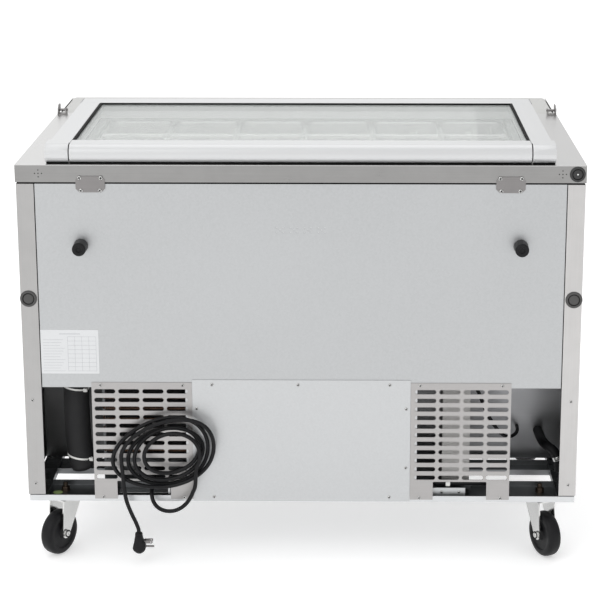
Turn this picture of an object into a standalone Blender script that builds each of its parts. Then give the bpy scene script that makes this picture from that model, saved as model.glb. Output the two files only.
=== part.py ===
"""Sandwich prep table: a refrigerated counter on casters with a glass lid over its pans.

Metres, +Z up.  The rear side, with the service panel and the cord, faces -Y.  The doors and
the cutting board face +Y.  Left and right are those of a person looking at the rear side.
The origin is on the floor, under the middle of the table without its cord.
"""
import math

import bmesh
import bpy
from mathutils import Matrix, Vector

# ---------------------------------------------------------------- driving dimensions
WIDTH = 1.225
REAR_Y = -0.414
FLOOR_TO_COUNTER = 0.908
COUNTER_DEPTH = 0.623
SKIRT = 0.0384
SHEET = 0.0012
GAP = 0.0003

BODY_HALF = 0.611
BODY_DEPTH = 0.688
BODY_BOTTOM = 0.155
BODY_TOP = 0.866
POST_INNER = 0.573

RAIL_BOTTOM = 0.139
RAIL_TOP = 0.153
RAIL_HALF = 0.609
RAIL_WALL = 0.002

COMPARTMENT_TOP = 0.407
COMPARTMENT_DEPTH = 0.235
FOAM_WALL = 0.045

OPENING_HALF = 0.480
OPENING_REAR = 0.036
OPENING_FRONT = 0.570
LEDGE_DROP = 0.0115
LEDGE_WIDTH = 0.009

PAN_PITCH = 0.1588
PAN_ROW_PITCH = 0.177
PANS_PER_ROW = 6
PAN_DEPTH = 0.100
PAN_SHEET = 0.001
DIVIDER_THICK = 0.0015

LID_AXIS_DEPTH = 0.020
LID_NOSE = 0.0205
LID_AXIS_Z = 0.9305
LID_BOTTOM = 0.912
LID_WALL = 0.0025
LID_OUTER = 0.541
LID_INNER = 0.4955
LID_CAP_OUTER = 0.547
LID_GLASS_REAR = 0.059
LID_GLASS_FRONT = 0.524
LID_FRONT = 0.585
EAR_SHEET = 0.001
EAR_GAP = 0.0004

WHEEL_RADIUS = 0.051
WHEEL_HALF = 0.016
AXLE_RADIUS = 0.005
CASTER_X = 0.5375
CASTER_REAR_DEPTH = 0.060
CASTER_FRONT_DEPTH = 0.643
TRAIL = 0.028
FORK_TOP = 0.1305
PEDAL_Y = -0.0305
PEDAL_Z = 0.1100
PEDAL_PIN = 0.0015

DOOR_REAR = 0.696
DOOR_THICK = 0.048
DOOR_BOTTOM = 0.220
DOOR_TOP = 0.855
DOOR_OUTER = 0.609
DOOR_INNER = 0.002
DOOR_AXIS_X = 0.594
DOOR_AXIS_DEPTH = 0.730
PIN_RADIUS = 0.004

COIL_X = -0.3085
COIL_Z = 0.2620
COIL_HALF_X = 0.1190
COIL_HALF_Z = 0.0875
COIL_BAND = 0.055
COIL_REAR = -0.0365
COIL_FRONT = -0.0015
CORD_RADIUS = 0.0045

# The cord's route outside its coil, in order along the cord.
LEAD_ROUTE = (
    (-0.3350, -0.4073, 0.1767),
    (-0.3350, -0.4142, 0.1698),
    (-0.3347, -0.4215, 0.1617),
    (-0.3330, -0.4280, 0.1525),
    (-0.3290, -0.4328, 0.1437),
    (-0.3225, -0.4360, 0.1358),
    (-0.3135, -0.4382, 0.1300),
    (-0.3020, -0.4400, 0.1268),
    (-0.2895, -0.4412, 0.1268),
    (-0.2770, -0.4422, 0.1302),
    (-0.2655, -0.4430, 0.1370),
    (-0.2555, -0.4437, 0.1465),
    (-0.2472, -0.4442, 0.1590),
    (-0.2405, -0.4446, 0.1735),
    (-0.2351, -0.4450, 0.1895),
)
TAIL_ROUTE = (
    (-0.3942, -0.4440, 0.1981),
    (-0.3938, -0.4430, 0.1830),
    (-0.3920, -0.4415, 0.1680),
    (-0.3890, -0.4400, 0.1500),
    (-0.3840, -0.4385, 0.1330),
    (-0.3780, -0.4370, 0.1160),
    (-0.3710, -0.4355, 0.0990),
    (-0.3665, -0.4345, 0.0860),
    (-0.3647, -0.4340, 0.0790),
    (-0.3645, -0.4340, 0.0728),
)


def deep(depth):
    """World Y of a point that lies this far in front of the rear plane."""
    return REAR_Y + depth


# ---------------------------------------------------------------- materials
def finish(name, colour, roughness, metallic=0.0):
    material = bpy.data.materials.new(name)
    material.use_nodes = True
    shader = material.node_tree.nodes["Principled BSDF"]
    shader.inputs["Base Color"].default_value = (*colour, 1.0)
    shader.inputs["Roughness"].default_value = roughness
    shader.inputs["Metallic"].default_value = metallic
    return material


def clear_scene():
    for thing in list(bpy.data.objects):
        bpy.data.objects.remove(thing, do_unlink=True)


# ---------------------------------------------------------------- mesh helpers
AXES = {
    "X": lambda u, v, w: (w, u, v),
    "Y": lambda u, v, w: (u, w, v),
    "Z": lambda u, v, w: (u, v, w),
}


def face_out(bm):
    """Turn all faces of a closed body outwards."""
    bmesh.ops.recalc_face_normals(bm, faces=bm.faces[:])
    if bm.calc_volume(signed=True) < 0.0:
        bmesh.ops.reverse_faces(bm, faces=bm.faces[:])
    return bm


def prism(outline, axis, low, high, holes=()):
    """Closed prism of a flat outline, with holes, between two heights along an axis."""
    bm = bmesh.new()
    for loop in (outline, *holes):
        verts = [bm.verts.new((u, v, 0.0)) for u, v in loop]
        for start, end in zip(verts, verts[1:] + verts[:1]):
            bm.edges.new((start, end))
    if holes:
        bmesh.ops.triangle_fill(bm, edges=bm.edges[:], use_beauty=True)
    else:
        bm.faces.new(bm.verts[:])
    grown = bmesh.ops.extrude_face_region(bm, geom=bm.faces[:])
    top = [item for item in grown["geom"] if isinstance(item, bmesh.types.BMVert)]
    bmesh.ops.translate(bm, vec=(0.0, 0.0, high - low), verts=top)
    for vert in bm.verts:
        u, v, w = vert.co
        vert.co = AXES[axis](u, v, w + low)
    return face_out(bm)


def rectangle(u_low, u_high, v_low, v_high):
    return [(u_low, v_low), (u_high, v_low), (u_high, v_high), (u_low, v_high)]


def box(x_low, x_high, d_low, d_high, z_low, z_high):
    """Closed block between two X, two depths and two heights."""
    return prism(rectangle(x_low, x_high, deep(d_low), deep(d_high)), "Z", z_low, z_high)


def oval(u, v, half_u, half_v, sides):
    angles = [2.0 * math.pi * step / sides for step in range(sides)]
    return [(u + half_u * math.cos(a), v + half_v * math.sin(a)) for a in angles]


def circle(u, v, radius, sides):
    return oval(u, v, radius, radius, sides)


def rounded(u_low, u_high, v_low, v_high, radius, steps=2):
    """Rectangle with round corners."""
    corners = (
        (u_high - radius, v_high - radius, 0.0),
        (u_low + radius, v_high - radius, 0.5),
        (u_low + radius, v_low + radius, 1.0),
        (u_high - radius, v_low + radius, 1.5),
    )
    points = []
    for u, v, start in corners:
        for step in range(steps + 1):
            angle = math.pi * (start + 0.5 * step / steps)
            points.append((u + radius * math.cos(angle), v + radius * math.sin(angle)))
    return points


def slot(u, v, length, height, steps=2):
    """Slot with half-round ends."""
    radius = height / 2.0
    reach = length / 2.0 - radius
    points = []
    for side, start in ((1.0, -0.5), (-1.0, 0.5)):
        for step in range(2 * steps + 1):
            angle = math.pi * (start + 0.5 * step / steps)
            points.append((u + side * reach + radius * math.cos(angle), v + radius * math.sin(angle)))
    return points


def mirrored(points, side):
    """Outline points with their first number on the side given by +1 or -1."""
    return [(side * u, v) for u, v in points]


def turned(profile, steps=24):
    """Body turned round Z from (radius, height) points."""
    bm = bmesh.new()
    verts = [bm.verts.new((radius, 0.0, height)) for radius, height in profile]
    for start, end in zip(verts, verts[1:]):
        bm.edges.new((start, end))
    bmesh.ops.spin(
        bm,
        geom=bm.verts[:] + bm.edges[:],
        cent=(0.0, 0.0, 0.0),
        axis=(0.0, 0.0, 1.0),
        angle=2.0 * math.pi,
        steps=steps,
        use_merge=True,
    )
    bmesh.ops.remove_doubles(bm, verts=bm.verts[:], dist=1e-6)
    return face_out(bm)


def rod(radius, start, end, sides=16):
    """Closed round bar between two points."""
    start = Vector(start)
    along = Vector(end) - start
    bm = prism(circle(0.0, 0.0, radius, sides), "Z", 0.0, along.length)
    spin = along.to_track_quat("Z", "Y").to_matrix().to_4x4()
    bm.transform(Matrix.Translation(start) @ spin)
    return bm


def moved(bm, matrix):
    bm.transform(matrix)
    return face_out(bm)


def to_mesh(name, bm):
    mesh = bpy.data.meshes.new(name)
    bm.to_mesh(mesh)
    bm.free()
    return mesh


def add(name, shape, material, origin=(0.0, 0.0, 0.0), round_shape=False):
    """Object of a bmesh or a mesh, modelled in world space, with its origin at the given point."""
    mesh = shape if isinstance(shape, bpy.types.Mesh) else to_mesh(name, shape)
    mesh.name = name
    mesh.materials.clear()
    mesh.materials.append(material)
    mesh.transform(Matrix.Translation(-Vector(origin)))
    if round_shape:
        mesh.shade_smooth()
        mesh.set_sharp_from_angle(angle=math.radians(35.0))
    thing = bpy.data.objects.new(name, mesh)
    thing.location = origin
    bpy.context.scene.collection.objects.link(thing)
    return thing


def evaluated(thing):
    """Mesh of an object with its modifiers in effect."""
    graph = bpy.context.evaluated_depsgraph_get()
    return bpy.data.meshes.new_from_object(thing.evaluated_get(graph))


def combine(first, others, operation):
    """Mesh of the first body united with, or cut by, the others in turn."""
    base = bpy.data.objects.new("base", to_mesh("base", first))
    tools = [bpy.data.objects.new("tool", to_mesh("tool", other)) for other in others]
    for thing in (base, *tools):
        bpy.context.scene.collection.objects.link(thing)
    for tool in tools:
        boolean = base.modifiers.new("combine", "BOOLEAN")
        boolean.operation = operation
        boolean.solver = "EXACT"
        boolean.object = tool
    mesh = evaluated(base)
    for thing in (base, *tools):
        bpy.data.objects.remove(thing, do_unlink=True)
    return mesh


def unite(first, *others):
    return combine(first, others, "UNION")


def to_bmesh(mesh):
    bm = bmesh.new()
    bm.from_mesh(mesh)
    return bm


def cut(first, *others):
    return combine(first, others, "DIFFERENCE")


def thicken(thing, thickness):
    """Give an open surface its sheet thickness, on the side away from its normals."""
    solidify = thing.modifiers.new("sheet", "SOLIDIFY")
    solidify.thickness = thickness
    solidify.offset = -1.0
    solidify.use_even_offset = True
    return thing


def grow_rim(bm, edges, shift):
    """Extrude boundary edges and move each new vertex by shift(vertex); gives the new edges."""
    grown = bmesh.ops.extrude_edge_only(bm, edges=edges)["geom"]
    for item in grown:
        if isinstance(item, bmesh.types.BMVert):
            item.co += Vector(shift(item.co))
    return [item for item in grown if isinstance(item, bmesh.types.BMEdge) and item.is_boundary]


def smooth_curve(points, spacing):
    """Points at an even spacing on a smooth curve through the given points."""
    points = [Vector(point) for point in points]
    ends = [2 * points[0] - points[1], *points, 2 * points[-1] - points[-2]]
    fine = []
    for a, b, c, d in zip(ends, ends[1:], ends[2:], ends[3:]):
        for step in range(16):
            t = step / 16.0
            fine.append(0.5 * (2 * b + (c - a) * t + (2 * a - 5 * b + 4 * c - d) * t * t
                               + (3 * b - a - 3 * c + d) * t ** 3))
    fine.append(points[-1])
    total = sum((end - start).length for start, end in zip(fine, fine[1:]))
    count = max(2, round(total / spacing))
    result = [fine[0]]
    travelled = 0.0
    for start, end in zip(fine, fine[1:]):
        length = (end - start).length
        while len(result) < count and travelled + length >= len(result) * total / count:
            share = (len(result) * total / count - travelled) / length
            result.append(start.lerp(end, share))
        travelled += length
    result.append(fine[-1])
    return result


def tube(name, points, radius, material, resolution=2):
    """Closed round tube along points, made as a bevelled curve."""
    curve = bpy.data.curves.new(name, "CURVE")
    curve.dimensions = "3D"
    curve.bevel_depth = radius
    curve.bevel_resolution = resolution
    curve.use_fill_caps = True
    spline = curve.splines.new("POLY")
    spline.points.add(len(points) - 1)
    for knot, point in zip(spline.points, points):
        knot.co = (*point, 1.0)
    curve.materials.append(material)
    thing = bpy.data.objects.new(name, curve)
    bpy.context.scene.collection.objects.link(thing)
    return thing


# ---------------------------------------------------------------- base frame and casters
def channel(u_low, u_high):
    """Section of an open-topped channel between two places, as high as the base rails."""
    inner_low = u_low + RAIL_WALL
    inner_high = u_high - RAIL_WALL
    floor = RAIL_BOTTOM + RAIL_WALL
    return [
        (u_low, RAIL_BOTTOM), (u_high, RAIL_BOTTOM), (u_high, RAIL_TOP), (inner_high, RAIL_TOP),
        (inner_high, floor), (inner_low, floor), (inner_low, RAIL_TOP), (u_low, RAIL_TOP),
    ]


def caster_places():
    """Name, X, depth and turn about Z of each caster as it stands at rest."""
    return (
        ("rear_left", -CASTER_X, CASTER_REAR_DEPTH, -31.0),
        ("rear_right", CASTER_X, CASTER_REAR_DEPTH, 25.0),
        ("front_left", -CASTER_X, CASTER_FRONT_DEPTH, -18.0),
        ("front_right", CASTER_X, CASTER_FRONT_DEPTH, 38.0),
    )


def base_frame(material):
    rear_rail = (0.0015, 0.095)
    middle_rail = (0.165, 0.230)
    front_rail = (0.600, 0.687)
    side_inner = 0.571
    plate_half_x = 0.0425
    plate_half_d = 0.0345
    plate_top = RAIL_BOTTOM + 0.0005
    plate_bottom = 0.1355
    boss_bottom = FORK_TOP + GAP
    parts = []
    for low, high in (rear_rail, middle_rail, front_rail):
        parts.append(prism(channel(deep(low), deep(high)), "X", -RAIL_HALF, RAIL_HALF))
    for low, high in ((-RAIL_HALF, -side_inner), (side_inner, RAIL_HALF)):
        parts.append(prism(channel(low, high), "Y", deep(rear_rail[0]), deep(front_rail[1])))
    for _, x, depth, _ in caster_places():
        parts.append(box(x - plate_half_x, x + plate_half_x, depth - plate_half_d,
                         depth + plate_half_d, plate_bottom, plate_top))
        parts.append(rod(0.014, (x, deep(depth), boss_bottom), (x, deep(depth), plate_bottom + 0.001)))
    add("base_frame", unite(*parts), material)


def fork_mesh(braked):
    """Caster fork about its swivel axis, with the wheel on its -Y side and the axle along X."""
    cheek_inner = WHEEL_HALF + 0.0025
    cheek_outer = cheek_inner + 0.003
    crown_bottom = FORK_TOP - 0.005
    crown_mid = FORK_TOP - 0.002
    crown_rear = -0.032
    crown_front = 0.026
    toe = 0.012
    outline = [(crown_rear, crown_mid), (crown_rear - 0.003, 0.112)]
    for step in range(7):
        angle = math.radians(190.0 + 25.0 * step)
        outline.append((-TRAIL + toe * math.cos(angle), WHEEL_RADIUS + toe * math.sin(angle)))
    outline += [(crown_front, 0.116), (crown_front, crown_mid)]
    parts = [prism(rectangle(-cheek_outer, cheek_outer, crown_rear, crown_front),
                   "Z", crown_bottom, crown_mid)]
    for side in (-1.0, 1.0):
        low, high = sorted((side * cheek_inner, side * cheek_outer))
        parts.append(prism(outline, "X", low, high))
    parts.append(rod(0.0275, (0.0, 0.0, crown_mid - 0.001), (0.0, 0.0, FORK_TOP), sides=20))
    head = cheek_outer + 0.0045
    parts.append(rod(AXLE_RADIUS, (-head, -TRAIL, WHEEL_RADIUS), (head, -TRAIL, WHEEL_RADIUS), sides=12))
    for side in (-1.0, 1.0):
        parts.append(rod(0.0078, (side * (cheek_outer - 0.001), -TRAIL, WHEEL_RADIUS),
                         (side * (head - 0.001), -TRAIL, WHEEL_RADIUS), sides=6))
    if braked:
        parts.append(rod(PEDAL_PIN, (-cheek_outer - 0.001, PEDAL_Y, PEDAL_Z),
                         (cheek_outer + 0.001, PEDAL_Y, PEDAL_Z), sides=8))
    return unite(*parts)


def wheel_mesh():
    """Caster wheel about its axle along X, with a rounded tread and sunk sides."""
    half = WHEEL_HALF
    bore = AXLE_RADIUS + GAP
    side = [
        (bore, half + 0.0015), (0.013, half + 0.0015), (0.015, half - 0.004),
        (0.034, half - 0.004), (0.037, half - 0.0005), (0.045, half - 0.001),
        (0.0495, half - 0.005), (WHEEL_RADIUS, half - 0.010),
    ]
    profile = side + [(radius, -height) for radius, height in reversed(side)] + [side[0]]
    return moved(turned(profile, steps=20), Matrix.Rotation(math.radians(90.0), 4, "Y"))


def pedal_mesh():
    """Brake pedal over the wheel, hinged between the fork's cheeks."""
    outline = [
        (-0.0360, 0.1080), (-0.0300, 0.1060), (-0.0270, 0.1100), (-0.0300, 0.1140),
        (-0.0600, 0.1170), (-0.0900, 0.1120), (-0.0910, 0.1080), (-0.0600, 0.1125),
    ]
    return prism(outline, "X", -0.0150, 0.0150, [circle(PEDAL_Y, PEDAL_Z, PEDAL_PIN + GAP, 8)])


def casters(zinc, tyre, red):
    plain_fork = fork_mesh(braked=False)
    braked_fork = fork_mesh(braked=True)
    wheel = to_mesh("wheel", wheel_mesh())
    pedal = to_mesh("pedal", pedal_mesh())
    pedal.transform(Matrix.Translation((0.0, -PEDAL_Y, -PEDAL_Z)))
    for mesh, material in ((plain_fork, zinc), (braked_fork, zinc), (wheel, tyre), (pedal, red)):
        mesh.materials.clear()
        mesh.materials.append(material)
    wheel.shade_smooth()
    wheel.set_sharp_from_angle(angle=math.radians(35.0))
    for name, x, depth, turn in caster_places():
        braked = name.startswith("front")
        fork_object = bpy.data.objects.new(f"caster_fork_{name}", braked_fork if braked else plain_fork)
        fork_object.location = (x, deep(depth), 0.0)
        fork_object.rotation_euler.z = math.radians(turn)
        wheel_object = bpy.data.objects.new(f"caster_wheel_{name}", wheel)
        wheel_object.parent = fork_object
        wheel_object.location = (0.0, -TRAIL, WHEEL_RADIUS)
        placed = [fork_object, wheel_object]
        if braked:
            pedal_object = bpy.data.objects.new(f"brake_pedal_{name[6:]}", pedal)
            pedal_object.parent = fork_object
            pedal_object.location = (0.0, PEDAL_Y, PEDAL_Z)
            placed.append(pedal_object)
        for thing in placed:
            bpy.context.scene.collection.objects.link(thing)


# ---------------------------------------------------------------- outer shell
def countertop(material):
    """Folded top sheet with a skirt all round and a lipped opening for the pans."""
    half = WIDTH / 2.0
    bm = bmesh.new()
    outer = rectangle(-half, half, deep(0.0), deep(COUNTER_DEPTH))
    inner = rectangle(-OPENING_HALF, OPENING_HALF, deep(OPENING_REAR), deep(OPENING_FRONT))
    for loop in (outer, inner):
        verts = [bm.verts.new((u, v, FLOOR_TO_COUNTER)) for u, v in loop]
        for start, end in zip(verts, verts[1:] + verts[:1]):
            bm.edges.new((start, end))
    bmesh.ops.triangle_fill(bm, edges=bm.edges[:], use_beauty=True)
    rims = [edge for edge in bm.edges if edge.is_boundary]
    skirt = [edge for edge in rims if all(abs(v.co.x) > OPENING_HALF + 0.01 for v in edge.verts)]
    lip = [edge for edge in rims if edge not in skirt]
    grow_rim(bm, skirt, lambda point: (0.0, 0.0, -SKIRT))
    ledge = grow_rim(bm, lip, lambda point: (0.0, 0.0, -LEDGE_DROP))
    middle = deep((OPENING_REAR + OPENING_FRONT) / 2.0)
    grow_rim(bm, ledge, lambda point: (-math.copysign(LEDGE_WIDTH, point.x),
                                       -math.copysign(LEDGE_WIDTH, point.y - middle), 0.0))
    bmesh.ops.recalc_face_normals(bm, faces=bm.faces[:])
    if max(bm.faces, key=lambda face: face.calc_center_median().z).normal.z < 0.0:
        bmesh.ops.reverse_faces(bm, faces=bm.faces[:])
    sheet = thicken(add("sheet", bm, material), SHEET)
    folded = to_bmesh(evaluated(sheet))
    bpy.data.objects.remove(sheet, do_unlink=True)
    add("countertop", unite(folded, *hinge_ears()), material)


def hinge_ears():
    """Two ears that stand on the countertop in the lid's seams, each with a pin for its end cap."""
    axis_y, half, root = deep(LID_AXIS_DEPTH), 0.010, FLOOR_TO_COUNTER - 0.0005
    outline = [(axis_y - half, root), (axis_y + half, root)]
    for step in range(9):
        angle = math.pi * step / 8
        outline.append((axis_y + half * math.cos(angle), LID_AXIS_Z + half * math.sin(angle)))
    ears = []
    for side in (-1.0, 1.0):
        near, far = side * (LID_INNER + EAR_GAP - GAP), side * (LID_INNER + EAR_GAP - GAP + EAR_SHEET)
        ears.append(prism(outline, "X", *sorted((near, far))))
        ears.append(rod(PIN_RADIUS, (near + side * 0.0002, axis_y, LID_AXIS_Z),
                        (far + side * 0.010, axis_y, LID_AXIS_Z), sides=12))
    return ears


def side_panel(name, side, material):
    """Side sheet folded inwards at the rear post and at the front, with vent slots."""
    inner = BODY_HALF - SHEET
    front_lip = 0.5735
    outline = mirrored([
        (POST_INNER, deep(0.0)), (BODY_HALF, deep(0.0)), (BODY_HALF, deep(BODY_DEPTH)),
        (front_lip, deep(BODY_DEPTH)), (front_lip, deep(BODY_DEPTH - SHEET)),
        (inner, deep(BODY_DEPTH - SHEET)), (inner, deep(SHEET)), (POST_INNER, deep(SHEET)),
    ], side)
    low, high = sorted((side * (inner - 0.002), side * (BODY_HALF + 0.002)))
    vents = bmesh.new()
    for row in range(9):
        for middle in (0.070, 0.145):
            piece = to_mesh("vent", prism(slot(deep(middle), 0.275 + 0.016 * row, 0.058, 0.006, steps=1),
                                          "X", low, high))
            vents.from_mesh(piece)
    add(name, cut(prism(outline, "Z", BODY_BOTTOM, BODY_TOP), vents), material)


def rear_panel(material):
    """Flat rear sheet with four groups of five small vent holes."""
    half = POST_INNER - 0.0005
    group_z = 0.7646
    holes = []
    for group in range(4):
        middle = -0.0446 + 0.03 * group
        holes.append(circle(middle, group_z, 0.0015, 6))
        for x in (middle - 0.0069, middle + 0.0069):
            for z in (group_z - 0.0049, group_z + 0.0049):
                holes.append(circle(x, z, 0.0015, 6))
    outline = rectangle(-half, half, COMPARTMENT_TOP, BODY_TOP)
    add("rear_panel", prism(outline, "Y", deep(0.0015), deep(0.0015 + SHEET), holes), material)


def service_panel(material):
    """Cover of the middle of the compressor bay, with a flange behind each grille."""
    half = 0.241
    flange = 0.256
    front = prism(rectangle(-half, half, 0.141, 0.425), "Y", deep(0.0), deep(SHEET))
    back = 0.0015 + SHEET
    outline = [
        (-half, deep(0.0005)), (half, deep(0.0005)), (half, deep(0.0015)), (flange, deep(0.0015)),
        (flange, deep(back)), (half - SHEET, deep(back)), (half - SHEET, deep(0.0008)),
        (SHEET - half, deep(0.0008)), (SHEET - half, deep(back)), (-flange, deep(back)),
        (-flange, deep(0.0015)), (-half, deep(0.0015)),
    ]
    flanges = prism(outline, "Z", 0.1545, COMPARTMENT_TOP - 0.0005)
    add("service_panel", unite(front, flanges), material)


def rear_grille(name, side, material):
    """Slotted cover beside the service panel, with a notch at its foot."""
    inner, outer, bottom, top = 0.2415, 0.4627, 0.145, 0.4187
    notch_inner, notch_outer, notch_top = 0.2925, 0.4118, 0.1875
    outline = mirrored([
        (inner, bottom), (notch_inner, bottom), (notch_inner, notch_top), (notch_outer, notch_top),
        (notch_outer, bottom), (outer, bottom), (outer, top), (inner, top),
    ], side)
    holes = []
    for column in range(4):
        for row in range(11):
            x, z = side * (0.274 + 0.0533 * column), 0.398 - 0.02005 * row
            holes.append(slot(x, z, 0.0468, 0.010, steps=1))
    add(name, prism(outline, "Y", deep(0.0), deep(SHEET), holes), material)


def kick_grille(material):
    """Front sheet below the doors, with two rows of slots."""
    holes = []
    for column in range(10):
        for row in range(2):
            holes.append(slot(-0.495 + 0.11 * column, 0.175 + 0.018 * row, 0.085, 0.008, steps=1))
    outline = rectangle(-BODY_HALF, BODY_HALF, 0.1555, 0.2125)
    add("kick_grille", prism(outline, "Y", deep(0.6885), deep(0.690), holes), material)


def face_frame(material):
    """Front frame round the two doorways, with a lug and a pin at each end of each door."""
    top, bottom = BODY_TOP, 0.2130
    front = 0.690
    outline = rectangle(-BODY_HALF, BODY_HALF, bottom, top)
    doorways = [rectangle(*sorted((side * 0.020, side * 0.555)), 0.235, 0.840) for side in (-1.0, 1.0)]
    parts = [prism(outline, "Y", deep(0.6885), deep(front), doorways)]
    reach = 0.012
    for side in (-1.0, 1.0):
        x = side * DOOR_AXIS_X
        for lug_low, pin_end in ((DOOR_TOP + 0.003, -reach), (DOOR_BOTTOM - 0.006, reach)):
            parts.append(box(x - 0.012, x + 0.012, front - 0.001, DOOR_AXIS_DEPTH + 0.010,
                             lug_low, lug_low + 0.003))
            root = lug_low + 0.0015
            tip = root + (pin_end - 0.004 if pin_end < 0.0 else pin_end + 0.004)
            parts.append(rod(PIN_RADIUS, (x, deep(DOOR_AXIS_DEPTH), root),
                             (x, deep(DOOR_AXIS_DEPTH), tip), sides=12))
    add("face_frame", unite(*parts), material)


def insulated_tub(material):
    """Foamed body, stepped over the compressor bay and open at its top and front."""
    outer_half = BODY_HALF - SHEET - 0.0005
    inner_half = outer_half - FOAM_WALL
    rear = 0.0032
    front = 0.685
    step_z = COMPARTMENT_TOP + 0.003
    bottom = BODY_BOTTOM + 0.0005
    top = 0.9048
    shoulder = BODY_TOP - 0.0005
    neck = COUNTER_DEPTH - 0.0035
    rear_wall = 0.031
    front_wall = 0.0195
    lintel_bottom = 0.840
    outer = [
        (deep(rear), step_z), (deep(COMPARTMENT_DEPTH), step_z), (deep(COMPARTMENT_DEPTH), bottom),
        (deep(front), bottom), (deep(front), shoulder), (deep(neck), shoulder), (deep(neck), top),
        (deep(rear), top),
    ]
    inner_step = COMPARTMENT_DEPTH + FOAM_WALL
    cavity = [
        (deep(rear + rear_wall), step_z + FOAM_WALL), (deep(inner_step), step_z + FOAM_WALL),
        (deep(inner_step), bottom + FOAM_WALL), (deep(front + 0.02), bottom + FOAM_WALL),
        (deep(front + 0.02), lintel_bottom), (deep(neck - front_wall), lintel_bottom),
        (deep(neck - front_wall), top + 0.02), (deep(rear + rear_wall), top + 0.02),
    ]
    body = prism(outer, "X", -outer_half, outer_half)
    add("insulated_tub", cut(body, prism(cavity, "X", -inner_half, inner_half)), material)


def fixing_plate(name, side, material):
    """Eight-sided plate that ties the countertop to the rear panel."""
    x, z = side * 0.4508, 0.8657
    half_x, half_z, chamfer = 0.0315, 0.0178, 0.008
    outline = [
        (x - half_x + chamfer, z - half_z), (x + half_x - chamfer, z - half_z),
        (x + half_x, z - half_z + chamfer), (x + half_x, z + half_z - chamfer),
        (x + half_x - chamfer, z + half_z), (x - half_x + chamfer, z + half_z),
        (x - half_x, z + half_z - chamfer), (x - half_x, z - half_z + chamfer),
    ]
    add(name, prism(outline, "Y", deep(-0.0018), deep(-GAP)), material)


def rear_bumper(name, side, material):
    """Turned spacer that keeps the table off a wall."""
    length = 0.036 + 0.0015 - GAP
    profile = [
        (0.0, length), (0.0125, length), (0.0145, length - 0.002), (0.0150, 0.020),
        (0.0158, 0.003), (0.0158, 0.0), (0.0, 0.0),
    ]
    bumper = moved(turned(profile), Matrix.Rotation(math.radians(90.0), 4, "X"))
    place = Matrix.Translation((side * 0.4755, deep(0.0015 - GAP), 0.729))
    add(name, moved(bumper, place), material, round_shape=True)


# ---------------------------------------------------------------- compressor bay
def compressor_tray(material):
    """Folded sheet under the compressor, resting on the rear and middle rails."""
    low, high, top = RAIL_TOP + GAP, RAIL_TOP + GAP + 0.0015, 0.170
    x_low, x_high, d_low, d_high = -0.420, 0.380, 0.040, 0.225
    floor = box(x_low, x_high, d_low, d_high, low, high)
    rear_lip = box(x_low, x_high, d_low, d_low + 0.0015, low, top)
    front_lip = box(x_low, x_high, d_high - 0.0015, d_high, low, top)
    add("compressor_tray", unite(floor, rear_lip, front_lip), material)


def compressor(material):
    """Welded pot compressor with a domed lid, a seam and a foot plate."""
    x, depth, foot = 0.105, 0.130, RAIL_TOP + 0.0025
    profile = [
        (0.0, 0.185), (0.030, 0.182), (0.055, 0.170), (0.068, 0.150), (0.070, 0.112), (0.075, 0.110),
        (0.075, 0.104), (0.070, 0.102), (0.068, 0.045), (0.055, 0.028), (0.040, 0.022), (0.0, 0.022),
    ]
    pot = moved(turned(profile, steps=20), Matrix.Translation((x, deep(depth), foot)))
    plate = box(x - 0.085, x + 0.085, depth - 0.055, depth + 0.055, foot + 0.012, foot + 0.0145)
    feet = []
    for side_x in (-1.0, 1.0):
        for side_d in (-1.0, 1.0):
            place = (x + side_x * 0.072, deep(depth + side_d * 0.042))
            feet.append(rod(0.011, (*place, foot), (*place, foot + 0.013), sides=10))
    column = rod(0.035, (x, deep(depth), foot + 0.013), (x, deep(depth), foot + 0.030), sides=16)
    add("compressor", unite(pot, plate, column, *feet), material, round_shape=True)


def condenser(fins, black, metal):
    """Finned condenser behind the left grille, with its fan and the fan's motor."""
    x, z, tray = -0.345, 0.285, RAIL_TOP + 0.0025
    half = 0.095
    fan_depth = 0.112
    add("condenser_coil", box(x - half - 0.010, x + half + 0.010, 0.052, 0.090, 0.2150, 0.395), fins)
    shroud_hole = circle(x, z + 0.012, 0.078, 20)
    housing = [
        prism(rectangle(x - half - 0.012, x + half + 0.012, tray, 0.400), "Y",
              deep(0.0905), deep(0.0920), [shroud_hole]),
        box(x - 0.035, x + 0.035, 0.0910, 0.170, tray, tray + 0.002),
        box(x - 0.012, x + 0.012, 0.145, 0.160, tray, z),
        rod(0.026, (x, deep(0.130), z + 0.012), (x, deep(0.175), z + 0.012), sides=16),
        rod(0.004, (x, deep(0.1175), z + 0.012), (x, deep(0.131), z + 0.012), sides=8),
    ]
    add("fan_housing", unite(*housing), metal)
    fan_axis = (x, deep(fan_depth), z + 0.012)
    fan("condenser_fan", fan_axis, 0.070, 5, black)


def fan(name, centre, radius, blades, material):
    """Bladed fan about an axis along Y through its centre."""
    hub = rod(0.018, (0.0, -0.009, 0.0), (0.0, 0.005, 0.0), sides=16)
    pieces = []
    pitch = Matrix.Rotation(math.radians(28.0), 4, "Z")
    for blade in range(blades):
        outline = [(-0.014, 0.012), (0.014, 0.012), (0.026, radius * 0.80), (0.016, radius),
                   (-0.016, radius), (-0.024, radius * 0.80)]
        plate = prism(outline, "Y", -0.0008, 0.0008)
        turn = Matrix.Rotation(2.0 * math.pi * blade / blades, 4, "Y")
        pieces.append(moved(plate, turn @ pitch))
    mesh = unite(hub, *pieces)
    mesh.transform(Matrix.Translation(centre))
    add(name, mesh, material, origin=centre)


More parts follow.
